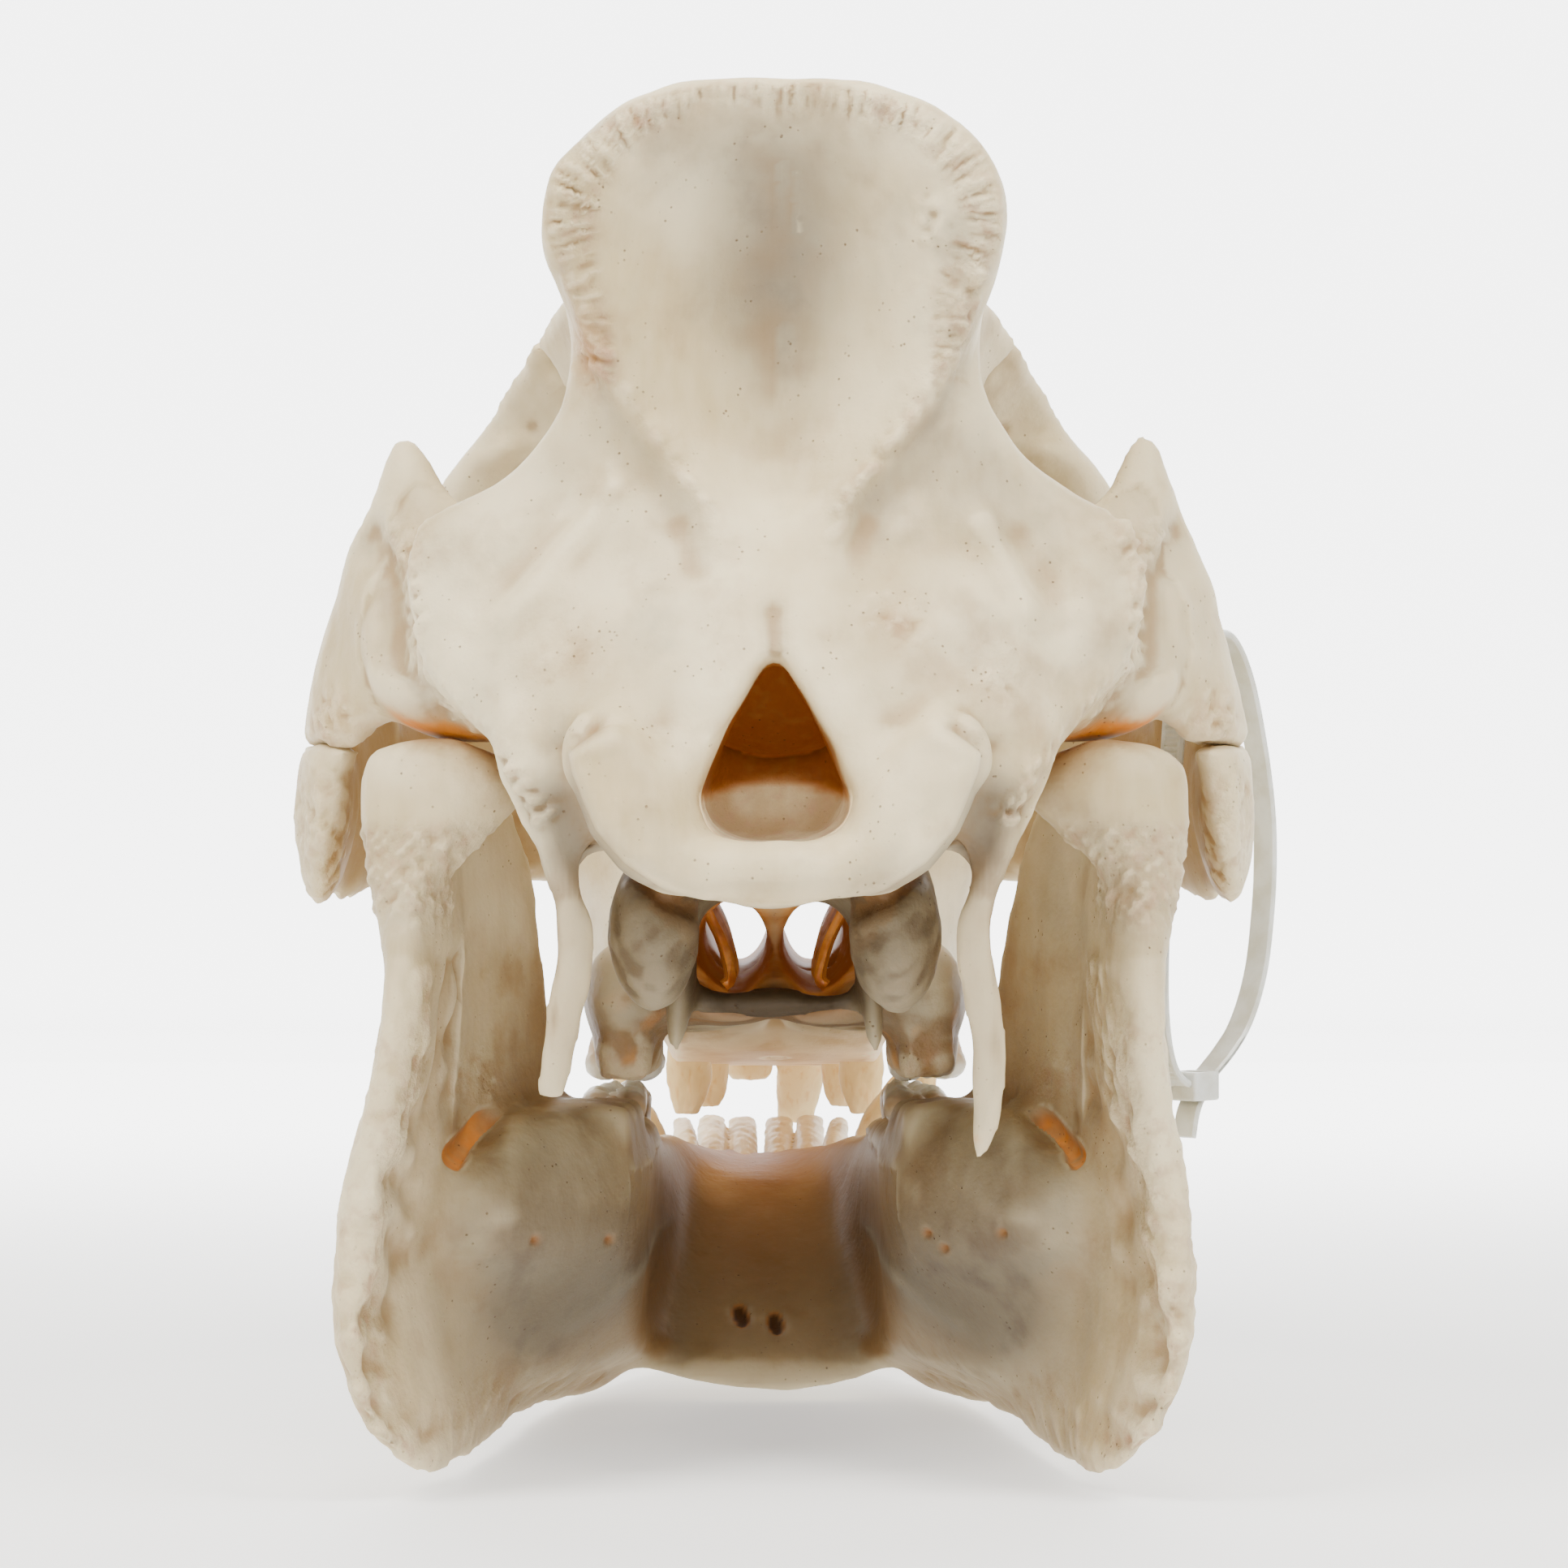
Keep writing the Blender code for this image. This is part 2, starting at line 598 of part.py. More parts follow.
def make_cranium():
    """The upper skull as one body, before its teeth and its sutures."""
    knuckle_turn = Matrix.Rotation(KNUCKLE_TILT, 4, "Y")
    solids = [
        loft("trunk", [trunk_ring(row) for row in smooth_rows(TRUNK, 5)]),
        loft("nape", [nape_ring(row) for row in smooth_rows(NAPE, 4)]),
        *[ball("base_bar", *bar) for bar in BASE_BARS],
        *both(tube("arch", ARCH, lean=ARCH_LEAN)),
        *both(tube("cheek_lobe", CHEEK_LOBE, lean=ARCH_LEAN)),
        *both(hanger("brow_horn", BROW_HORN)),
        *both(hanger("cheek_horn", CHEEK_HORN)),
        *both(ball("knuckle", *KNUCKLE, knuckle_turn)),
        *both(ball("bulla", *BULLA)),
        *both(ball("tuber", *TUBER)),
        *both(ball("ear_block", *EAR_BLOCK)),
        *both(ball("canine_socket", *CANINE_SOCKET)),
        ball("palate", *PALATE),
        *both(ball("joint_shelf", *JOINT_SHELF, Matrix.Rotation(JAW_KNUCKLE_TILT, 4, "Y"))),
        *both(hanger("wing_plate", WING_PLATE)),
        hanger("process_left", [*PROCESS, *PROCESS_TIP_LEFT]),
        other_side(hanger("process_right", [*PROCESS, *PROCESS_TIP_RIGHT])),
    ]
    body = melted("cranium", solids)
    hollows = [
        *both(ball("orbit", *ORBIT)),
        *both(ball("cheek_hollow", *CHEEK_HOLLOW)),
        *both(ball("cheek_tunnel", *CHEEK_TUNNEL)),
        *both(ball("ear_hole", *EAR_HOLE)),
        *both(tube("passage", [(x, y, z, w, h) for y, x, z, w, h in PASSAGE])),
        ball("brain", *BRAIN),
        great_hole(),
        ball("nose_notch", *NOSE_NOTCH),
        tube("palate_vault", PALATE_VAULT),
    ]
    carve(body, melted("hollows", hollows, voxel=1.0))
    with_modifier(body, "REMESH", mode="VOXEL", voxel_size=VOXEL * MM)
    with_modifier(body, "SMOOTH", factor=0.5, iterations=5)
    thinned(largest_surface(body), CRANIUM_TRIANGLES)
    return body


def prism(line, far, grow=0.0):
    """A slab across the whole skull between a line of (y, z), moved sideways, and far corners."""
    line = np.array(line, float)
    along = np.gradient(line, axis=0)
    aside = np.stack([-along[:, 1], along[:, 0]], axis=1)
    line = line + grow * aside / np.linalg.norm(aside, axis=1, keepdims=True)
    outline = [*line, *far]
    return loft("prism", [[(x, y, z) for y, z in outline] for x in (-WIDE, WIDE)])


def region(rows, grow=0.0):
    """A closed bar along Y with upright oblong sections, a little wider all round where grown."""
    rings = []
    for i, (y, x_in, x_out, z_low, z_high) in enumerate(rows):
        y += -grow if i == len(rows) - 1 else grow
        x_in, x_out, z_low, z_high = x_in - grow, x_out + grow, z_low - grow, z_high + grow
        rings.append([(x_in, y, z_low), (x_out, y, z_low), (x_out, y, z_high), (x_in, y, z_high)])
    return loft("region", rings)


def split(body, inside, outside):
    """Takes one bone out of the body: it lies inside, and the rest stays clear of outside."""
    bone = body.copy()
    bone.data = body.data.copy()
    in_collection("blanks").objects.link(bone)
    largest_surface(carve(bone, inside, "INTERSECT"))
    largest_surface(carve(body, outside))
    return bone


def part_cranium(body):
    """Parts the upper skull along its sutures; gives the bones by name."""
    cheek = split(body, region(CHEEK_REGION), region(CHEEK_REGION, GAP))
    carve(body, other_side(region(CHEEK_REGION, GAP)))
    behind = ((60, 50), (60, 245))
    braincase = split(body, prism(CROWN_SUTURE, behind), prism(CROWN_SUTURE, behind, -GAP))
    # Only the left half of the face is kept, for the right one is its mirror image
    largest_surface(carve(body, region(((60, GAP / 2, WIDE, 0, 260), (-340, GAP / 2, WIDE, 0, 260))),
                          "INTERSECT"))
    above = ((-174, 260), (-60, 260))
    frontal = split(body, prism(BROW_SUTURE, above), prism(BROW_SUTURE, above, GAP))
    nasal = split(body, region(NOSE_REGION), region(NOSE_REGION, GAP))
    ahead = ((-340, 160), (-340, 40))
    incisive = split(body, prism(SNOUT_SUTURE, ahead), prism(SNOUT_SUTURE, ahead, -GAP))
    bones = {"braincase": braincase}
    halves = {"frontal": frontal, "nasal": nasal, "maxilla": body, "incisive": incisive,
              "zygomatic": cheek}
    for name, left in halves.items():
        bones[name + "_left"] = left
        bones[name + "_right"] = mirrored(left)
    return bones


def add_upper_teeth(bones):
    row = thinned(tooth_row("upper_row", UPPER_CHEEK, -1), UPPER_ROW_TRIANGLES)
    rows = {"_left": row, "_right": mirrored(row)}
    for side, first in (("_left", UPPER_STUMP), ("_right", UPPER_FIRST)):
        canine = hanger("canine", UPPER_CANINE, steps=1, around=8)
        front = [hanger("incisor", tooth, steps=1, around=8)
                 for tooth in (first, UPPER_SECOND, UPPER_THIRD)]
        if side == "_right":
            canine = other_side(canine)
            front = [other_side(tooth) for tooth in front]
        united(bones["maxilla" + side], [rows[side], canine], MAXILLA_TRIANGLES)
        united(bones["incisive" + side], front)


def jaw_ring(row):
    """A flat upright section of the jaw, bent from its lower to its upper edge."""
    y, z_low, z_high, *across, t_low, t_high = row
    heights = np.linspace(z_low, z_high, len(across))
    centre = smooth_rows(list(zip(across, heights)), 4)
    outer, inner = [], []
    for i, (x, z) in enumerate(centre):
        s = i / (len(centre) - 1)
        thick = (t_low + (t_high - t_low) * s) * math.sqrt(max(1 - (2 * s - 1) ** 8, 0.02))
        outer.append((x + thick, y, z))
        inner.append((x - thick, y, z))
    return outer + inner[::-1]


def chin_ring(row):
    y, half, z_low, z_high = row
    ring = []
    for t in np.linspace(0, 2 * math.pi, 28, endpoint=False):
        middle = 0.5 * (z_low + z_high) + 0.5 * (z_high - z_low) * math.sin(t)
        ring.append((half * math.cos(t), y, middle + CHIN_RISE * abs(math.cos(t)) ** 3))
    return ring


def leaned(x, y, z):
    """The jaw sits a little off the middle, more so towards the floor and the chin."""
    reach = (JAW_LEAN_FROM - z) / (JAW_LEAN_FROM - JAW_LEAN_TO)
    ahead = (CHIN_LEAN_FROM - y) / (CHIN_LEAN_FROM - CHIN_LEAN_TO)
    return x + JAW_LEAN * min(max(reach, 0), 1) + CHIN_LEAN * min(max(ahead, 0), 1)


def make_mandible():
    half = loft("jaw_half", [jaw_ring(row) for row in smooth_rows(JAW, 4)])
    knuckle_turn = Matrix.Rotation(JAW_KNUCKLE_TILT, 4, "Y")
    solids = [
        *both(half),
        *both(tube("jaw_sockets", JAW_SOCKETS)),
        *both(ball("jaw_knuckle", *JAW_KNUCKLE, knuckle_turn)),
        *both(hanger("jaw_neck", JAW_NECK)),
        loft("chin", [chin_ring(row) for row in smooth_rows(CHIN, 4)]),
    ]
    body = melted("mandible", solids)
    carve(body, melted("jaw_holes", both(ball("jaw_hole", *JAW_HOLE)), voxel=1.0))
    with_modifier(body, "SMOOTH", factor=0.5, iterations=4)
    thinned(largest_surface(body), MANDIBLE_TRIANGLES)
    row = thinned(tooth_row("lower_row", LOWER_CHEEK, 1), LOWER_ROW_TRIANGLES)
    teeth = both(row) + both(hanger("canine", LOWER_CANINE, steps=1, around=8))
    for rows in LOWER_FRONT:
        teeth += both(tube("incisor", rows, steps=1, around=8))
    united(body, teeth, JAW_TRIANGLES)
    for vert in body.data.vertices:
        vert.co.x = leaned(*(vert.co / MM)) * MM
    floor = region(((60, -WIDE, WIDE, FLOOR - 30, FLOOR), (-340, -WIDE, WIDE, FLOOR - 30, FLOOR)))
    return largest_surface(carve(body, floor))


def tie_point(out, z):
    """A point of the tie's plane, from its distance outwards and its height."""
    x, y = TIE_PLACE
    return Vector((x - out * math.cos(TIE_TURN), y - out * math.sin(TIE_TURN), z))


def band(name, points, closed):
    """A flat strap of the tie through the points of its plane."""
    across = Vector((math.sin(TIE_TURN), -math.cos(TIE_TURN), 0)) * TIE_WIDTH / 2
    count = len(points)
    rings = []
    for i, point in enumerate(points):
        before = points[i - 1 if closed or i else 0]
        after = points[(i + 1) % count if closed else min(i + 1, count - 1)]
        out = (after - before).normalized().cross(across).normalized() * TIE_THICKNESS / 2
        rings.append([point + across + out, point - across + out,
                      point - across - out, point + across - out])
    if not closed:
        return loft(name, rings)
    bm = bmesh.new()
    made = [[bm.verts.new(point) for point in ring] for ring in rings]
    for ring, following in zip(made, made[1:] + made[:1]):
        for i, vert in enumerate(ring):
            j = (i + 1) % len(ring)
            bm.faces.new((vert, ring[j], following[j], following[i]))
    bmesh.ops.recalc_face_normals(bm, faces=bm.faces)
    return new_object(name, bm, "blanks")


def make_cable_tie():
    turn = Matrix.Rotation(TIE_TURN, 4, "Z")
    route = smooth_rows([TIE_LOOP[-1], *TIE_LOOP, *TIE_LOOP[:2]], 3)[3:-4]
    loop = band("cable_tie", [tie_point(*place) for place in route], closed=True)
    tail_route = smooth_rows(TIE_TAIL, 3)
    tail = band("tail", [tie_point(*place) for place in tail_route], closed=False)
    bm = bmesh.new()
    bmesh.ops.create_cube(bm, size=1)
    bmesh.ops.scale(bm, vec=TIE_HEAD, verts=bm.verts)
    bmesh.ops.transform(
        bm, matrix=Matrix.Translation(tie_point(*TIE_HEAD_AT)) @ turn, verts=bm.verts
    )
    head = new_object("head", bm, "blanks")
    return united(loop, [tail, head])


def material(name, colour, roughness):
    made = bpy.data.materials.new(name)
    made.use_nodes = True
    shader = made.node_tree.nodes["Principled BSDF"]
    shader.inputs["Base Color"].default_value = (*colour, 1)
    shader.inputs["Roughness"].default_value = roughness
    return made


def set_down(nodes):
    """Puts the middle of the underside of the box round all the nodes at the origin."""
    points = np.array([vert.co for obj in nodes for vert in obj.data.vertices])
    low, high = points.min(axis=0), points.max(axis=0)
    shift = Vector((-(low[0] + high[0]) / 2, -(low[1] + high[1]) / 2, -low[2]))
    for obj in nodes:
        obj.data.transform(Matrix.Translation(shift))


def main():
    clear_scene()
    nodes = part_cranium(make_cranium())
    add_upper_teeth(nodes)
    nodes["mandible"] = make_mandible()
    nodes["cable_tie"] = make_cable_tie()
    home = in_collection("pig_skull")
    for name, obj in nodes.items():
        obj.name = obj.data.name = name
        # The Booleans leave empty slots
        obj.data.materials.clear()
        if name == "cable_tie":
            obj.data.materials.append(material("nylon", NYLON, NYLON_ROUGHNESS))
        else:
            obj.data.materials.append(material(name + "_bone", BONE, BONE_ROUGHNESS))
        home.objects.link(obj)
    bpy.data.collections.remove(bpy.data.collections["blanks"])
    bpy.data.collections.remove(bpy.data.collections["growths"])
    set_down(nodes.values())


main()
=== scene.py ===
"""A dry pig skull with its lower jaw, seen from behind, in plain studio light.

Places are in millimetres of the skull: x from its middle plane towards the animal's left,
y from the rear of the knuckles, negative towards the snout, and z above the foot of the jaw.
"""

import math

import bmesh
import bpy
import numpy as np
from mathutils import Matrix, Vector
from mathutils.bvhtree import BVHTree
from mathutils.kdtree import KDTree


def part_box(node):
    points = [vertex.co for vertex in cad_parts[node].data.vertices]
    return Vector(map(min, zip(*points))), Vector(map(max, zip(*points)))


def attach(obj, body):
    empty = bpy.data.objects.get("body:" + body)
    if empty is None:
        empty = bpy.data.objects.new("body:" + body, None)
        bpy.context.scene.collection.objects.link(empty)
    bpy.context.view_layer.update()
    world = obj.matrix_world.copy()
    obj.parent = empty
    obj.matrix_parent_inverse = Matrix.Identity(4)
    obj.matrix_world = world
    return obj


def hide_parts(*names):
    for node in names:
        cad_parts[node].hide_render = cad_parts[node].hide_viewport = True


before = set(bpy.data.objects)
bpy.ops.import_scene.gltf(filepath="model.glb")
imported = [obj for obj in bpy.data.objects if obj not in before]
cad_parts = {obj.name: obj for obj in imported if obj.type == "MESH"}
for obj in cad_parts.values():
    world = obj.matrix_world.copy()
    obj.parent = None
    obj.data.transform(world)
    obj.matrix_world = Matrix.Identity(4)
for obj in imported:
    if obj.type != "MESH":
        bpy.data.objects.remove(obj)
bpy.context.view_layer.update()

# Studio: a pale floor that sweeps up into a bright wall beyond the snout, wide soft lamps on
# both sides of the camera and above, and the camera level with the great hole of the nape.
MM = 0.001
MIDDLE = (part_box("nasal_left")[0].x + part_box("nasal_right")[1].x) / 2 / MM
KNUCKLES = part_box("braincase")[1].y / MM + 0.2
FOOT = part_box("braincase")[1].z / MM - 227.3
HOME = np.array([MIDDLE, KNUCKLES, FOOT])
CAMERA_BEHIND = 765
CAMERA_HEIGHT = 114.6
LENS = 112.9
MIDLINE_SHIFT = 11 / 1932
SWEEP_WIDE = 2200
# The floor from behind the camera to the foot of the wall, and the wall, as (y, z)
SWEEP = ((2400, 0), (-700, 0), (-1100, 25), (-1400, 130), (-1600, 380), (-1700, 900), (-1720, 2400))
WALL_GLOW = 5.5
AMBIENT = 0.06
# Name, place, size in metres and watts
LAMPS = (
    ("lamp_left", (560, 330, 900), 0.35, 15.5),
    ("lamp_right", (-560, 330, 900), 0.35, 13),
    ("lamp_top", (0, 420, 950), 0.4, 6.5),
    ("lamp_camera", (0, 1000, 520), 0.5, 3),
)
LAMP_COLOUR = (1, 0.97, 0.91)


def place(x, y, z):
    """A point of the skull, in metres of the frame."""
    return Vector((HOME + (x, y, z)) * MM)


class Shade:
    """A socket of a material, on which maths is written as on a number."""

    def __init__(self, tree, socket):
        self.tree = tree
        self.socket = socket

    def node(self, kind, settings=(), output=0, **sockets):
        """Any node of the same material. A socket is given by its name or as i and its number."""
        made = self.tree.nodes.new(kind)
        for name, value in dict(settings).items():
            setattr(made, name, value)
        for name, value in sockets.items():
            socket = made.inputs[int(name[1:]) if name[1:].isdigit() else name.replace("_", " ")]
            if isinstance(value, Shade):
                self.tree.links.new(value.socket, socket)
            else:
                socket.default_value = (*value, 1) if socket.type == "RGBA" else value
        return Shade(self.tree, made.outputs[output])

    def __add__(self, other):
        return self.node("ShaderNodeMath", {"operation": "ADD"}, i0=self, i1=other)

    def __mul__(self, other):
        return self.node("ShaderNodeMath", {"operation": "MULTIPLY"}, i0=self, i1=other)

    def __sub__(self, other):
        return self.node("ShaderNodeMath", {"operation": "SUBTRACT"}, i0=self, i1=other)

    def __rsub__(self, other):
        return self.node("ShaderNodeMath", {"operation": "SUBTRACT"}, i0=other, i1=self)

    __radd__ = __add__
    __rmul__ = __mul__


def between(shade, low, high):
    """0 below low, 1 above high, smooth in between."""
    return shade.node("ShaderNodeMapRange", {"interpolation_type": "SMOOTHSTEP"},
                      Value=shade, From_Min=low, From_Max=high)


def blend(factor, one, other):
    """Colour one where the factor is 0, colour other where it is 1."""
    return factor.node("ShaderNodeMix", {"data_type": "RGBA"}, 2, i0=factor, i6=one, i7=other)


def new_material(name):
    """A Principled material: the material, its shader and the object's coordinates."""
    made = bpy.data.materials.new(name)
    made.use_nodes = True
    tree = made.node_tree
    coordinates = tree.nodes.new("ShaderNodeTexCoord")
    return made, tree.nodes["Principled BSDF"], Shade(tree, coordinates.outputs["Object"])


def feed(shader, **sockets):
    for name, shade in sockets.items():
        shade.tree.links.new(shade.socket, shader.inputs[name.replace("_", " ")])


def steady(shader, **sockets):
    for name, value in sockets.items():
        shader.inputs[name.replace("_", " ")].default_value = value


def new_piece(name, bm):
    """A mesh object from a bmesh in metres."""
    mesh = bpy.data.meshes.new(name)
    bm.to_mesh(mesh)
    bm.free()
    obj = bpy.data.objects.new(name, mesh)
    bpy.context.scene.collection.objects.link(obj)
    return obj


def smooth_rows(rows, steps):
    """Catmull-Rom through rows of numbers, each span cut in the given number of steps."""
    rows = np.array(rows, float)
    ends = np.vstack([2 * rows[0] - rows[1], rows, 2 * rows[-1] - rows[-2]])
    found = []
    for before, start, end, after in zip(ends, ends[1:], ends[2:], ends[3:]):
        for t in np.arange(steps) / steps:
            found.append(
                0.5 * (2 * start + (end - before) * t
                       + (2 * before - 5 * start + 4 * end - after) * t**2
                       + (3 * start - before - 3 * end + after) * t**3)
            )
    return np.array(found + [rows[-1]])


def lamp(name, where, size, power):
    """A square lamp that faces the middle of the skull."""
    light = bpy.data.lights.new(name, "AREA")
    light.shape = "SQUARE"
    light.size = size
    light.energy = power
    light.color = LAMP_COLOUR
    obj = bpy.data.objects.new(name, light)
    bpy.context.scene.collection.objects.link(obj)
    obj.location = place(*where)
    ahead = place(0, -60, 110) - obj.location
    obj.rotation_euler = ahead.to_track_quat("-Z", "Y").to_euler()


camera = bpy.data.objects.new("camera", bpy.data.cameras.new("camera"))
bpy.context.scene.collection.objects.link(camera)
bpy.context.scene.camera = camera
camera.location = place(0, CAMERA_BEHIND, CAMERA_HEIGHT)
camera.rotation_euler = (math.radians(90), 0, math.radians(180))
camera.data.lens = LENS
camera.data.sensor_width = 36
camera.data.shift_x = MIDLINE_SHIFT

for row in LAMPS:
    lamp(*row)

world = bpy.data.worlds.new("studio")
world.use_nodes = True
world.node_tree.nodes["Background"].inputs["Color"].default_value = (1, 1, 1, 1)
world.node_tree.nodes["Background"].inputs["Strength"].default_value = AMBIENT
bpy.context.scene.world = world

sweep_bm = bmesh.new()
sides = []
for side in (-SWEEP_WIDE, SWEEP_WIDE):
    line = smooth_rows(SWEEP, 8)
    sides.append([sweep_bm.verts.new((side * MM, y * MM, z * MM)) for y, z in line])
for i in range(len(sides[0]) - 1):
    sweep_bm.faces.new((sides[0][i], sides[0][i + 1], sides[1][i + 1], sides[1][i]))
sweep = new_piece("sweep", sweep_bm)
for polygon in sweep.data.polygons:
    polygon.use_smooth = True
paint, shader, at = new_material("sweep_paint")
forward = at.node("ShaderNodeSeparateXYZ", output=1, Vector=at)
glow = between(forward * -1, 0.1, 0.8)
feed(shader, Emission_Color=blend(glow, (0.12, 0.12, 0.12), (1, 1, 1)),
     Base_Color=blend(glow, (0.75, 0.75, 0.75), (0.05, 0.05, 0.05)))
steady(shader, Roughness=0.7, Emission_Strength=WALL_GLOW)
sweep.data.materials.append(paint)


# Dry bone: cream with warmer and greyer clouds, fine pores, a faint grain, and rough brownish
# scars where muscles were fixed. It was boiled clean. Its hollows and the places under other
# parts are darkened with painted shade, and some parts carry a painted glow.
CREAM = (0.50, 0.395, 0.215)
IVORY = (0.74, 0.64, 0.42)
TAN = (0.27, 0.155, 0.06)
ASH = (0.165, 0.142, 0.108)
AMBER = (0.60, 0.18, 0.012)
HONEY = (0.72, 0.36, 0.09)
UMBER = (0.10, 0.048, 0.02)
ROSE = (0.38, 0.215, 0.135)
HOLE_SHADOW = (0.035, 0.012, 0.005)
GLOOM = (0.06, 0.04, 0.02)
MARKS = ("tan", "amber", "ash", "scar", "dark", "dip", "shelter", "gloom", "lit")


def cloud(at, size, detail=3.0, stretch=None, seed=0.0):
    """Soft noise whose blobs are about size millimetres across, from 0 to 1."""
    if stretch:
        at = at.node("ShaderNodeMapping", Vector=at, Scale=stretch)
    return at.node("ShaderNodeTexNoise", {"noise_dimensions": "4D"},
                   Vector=at, W=seed, Scale=1 / (size * MM), Detail=detail)


def painted(at, name):
    """What is painted on the points of the piece under this name."""
    return at.node("ShaderNodeAttribute", {"attribute_name": name}, output="Fac")


def bone(name, grain):
    """Bone whose grain runs along the short side of the given stretch."""
    made, shader, at = new_material(name)
    tan, amber, ash, scar, dark, dip, shelter, gloom, lit = [painted(at, mark) for mark in MARKS]
    clouds = between(cloud(at, 36, 4), 0.36, 0.66)
    blotches = between(cloud(at, 11, 5, seed=3.0), 0.5, 0.72)
    stains = between(cloud(at, 24, 6, seed=4.0), 0.54, 0.7)
    fibres = between(cloud(at, 2.4, 4, stretch=grain, seed=5.0), 0.3, 0.75)
    specks = between(cloud(at, 0.8, 2, seed=9.0), 0.64, 0.8)
    crumbs = between(cloud(at, 2.6, 5, seed=12.0), 0.45, 0.72)
    colour = blend(clouds, CREAM, IVORY)
    colour = blend(blotches * 0.34, colour, TAN)
    colour = blend(stains * 0.30, colour, ASH)
    colour = blend(fibres * 0.20, colour, IVORY)
    # The ash mark paints grey: the bone's own grey at a few places, and painted shade in grooves,
    # hollows and under the skull.
    colour = blend(ash * (0.75 + blotches * 0.25), colour, ASH)
    # The tan mark paints brown: stains on sutures, scars and rough spots, and also painted shade
    # under the skull and on the jaw's inner side.
    colour = blend(between(tan + blotches * 0.12, 0.0, 1.1), colour, TAN)
    # Painted shade: browner where the piece is sheltered by the rest of the skull, in hollows and
    # under other parts.
    deep = between(shelter + blotches * 0.06 + fibres * 0.03, 0.22, 0.75)
    colour = blend(deep * 0.8, colour, TAN)
    # Painted shade in small hollows, and painted highlight on small bulges.
    colour = blend(between(dip, 0.52, 0.95) * 0.6, colour, TAN)
    colour = blend(between(dip, 0.46, 0.1) * 0.45, colour, IVORY)
    colour = blend(scar * crumbs * 0.65, colour, ROSE)
    colour = blend(specks * (0.10 + scar * 0.5), colour, UMBER)
    # Painted shade: near black brown where gloom is marked.
    colour = blend(gloom, colour, GLOOM)
    # The amber mark paints orange: partly stains, and in the brain's hollow painted light shining
    # through thin bone.
    colour = blend(amber, colour, blend(clouds * 0.6 + crumbs * 0.3, AMBER, HONEY))
    # Painted shadow: near black in deep holes and at the foot of the passages.
    colour = blend(dark, colour, HOLE_SHADOW)
    cells = at.node("ShaderNodeTexVoronoi", {"feature": "F1"}, Vector=at, Scale=1 / (1.6 * MM))
    pores = (1 - between(cells, 0.07, 0.17)) * between(cloud(at, 8, 3, seed=20.0), 0.5, 0.62)
    colour = blend(pores * 0.6, colour, UMBER)
    height = cloud(at, 1.2, 5, seed=30.0) * (0.25 + scar * 1.5) + cloud(at, 5.0, 3, seed=31.0) * 0.5
    height = height + fibres * 0.12 - pores * 0.6
    bump = at.node("ShaderNodeBump", Height=height, Strength=0.7, Distance=0.7 * MM)
    # Where lit is marked the bone glows in its own colour: a painted glow standing for light.
    feed(shader, Base_Color=colour, Roughness=0.50 + clouds * 0.08 + scar * 0.15, Normal=bump,
         Emission_Color=blend(lit, (0, 0, 0), colour))
    steady(shader, Emission_Strength=0.8, Specular_IOR_Level=0.25, Subsurface_Weight=0.12,
           Subsurface_Radius=(1.0, 0.5, 0.22), Subsurface_Scale=2.5 * MM)
    return made


# Braincase: the bones behind and round the brain, grown together, with the high crest that
# the neck hung from, the two knuckles and the hanging processes. One piece, cast from the
# frame's node, with its furrows, scars and stains worked in.
BRAINCASE_VOXEL = 1.33


def applied(obj, kind, **settings):
    """Adds one modifier and takes its result as the mesh."""
    modifier = obj.modifiers.new(kind.lower(), kind)
    for name, value in settings.items():
        setattr(modifier, name, value)
    graph = bpy.context.evaluated_depsgraph_get()
    mesh = bpy.data.meshes.new_from_object(obj.evaluated_get(graph))
    obj.modifiers.clear()
    obj.data = mesh
    return obj


def cast(name, nodes, voxel, swell=0.0, trim=None):
    """A fine skin round the named nodes, after the trim has pushed their teeth back."""
    bm = bmesh.new()
    for node in nodes:
        bm.from_mesh(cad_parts[node].data)
    bmesh.ops.remove_doubles(bm, verts=bm.verts, dist=1e-6)
    if trim:
        for vert in bm.verts:
            vert.co = place(*trim(*(np.array(vert.co) / MM - HOME)))
    obj = new_piece(name, bm)
    if swell:
        applied(obj, "DISPLACE", strength=swell * MM, mid_level=0)
    applied(obj, "SUBSURF", levels=1, render_levels=1)
    applied(obj, "REMESH", mode="VOXEL", voxel_size=voxel * MM)
    applied(obj, "SMOOTH", factor=0.5, iterations=8)
    if swell:
        applied(obj, "DISPLACE", strength=-swell * MM, mid_level=0)
    return obj


def hump(offset, width):
    """1 where the offset is 0, fading out over the width."""
    return np.exp(-(offset / width) ** 2)


def refined(obj, wanted):
    """Cuts the faces in four where wanted, a test of points in millimetres, is true."""
    chosen = wanted(*Clay(obj).points.T)
    bm = bmesh.new()
    bm.from_mesh(obj.data)
    edges = [edge for edge in bm.edges if all(chosen[vert.index] for vert in edge.verts)]
    bmesh.ops.subdivide_edges(bm, edges=edges, cuts=1, use_grid_fill=True)
    bm.to_mesh(obj.data)
    bm.free()
    return obj


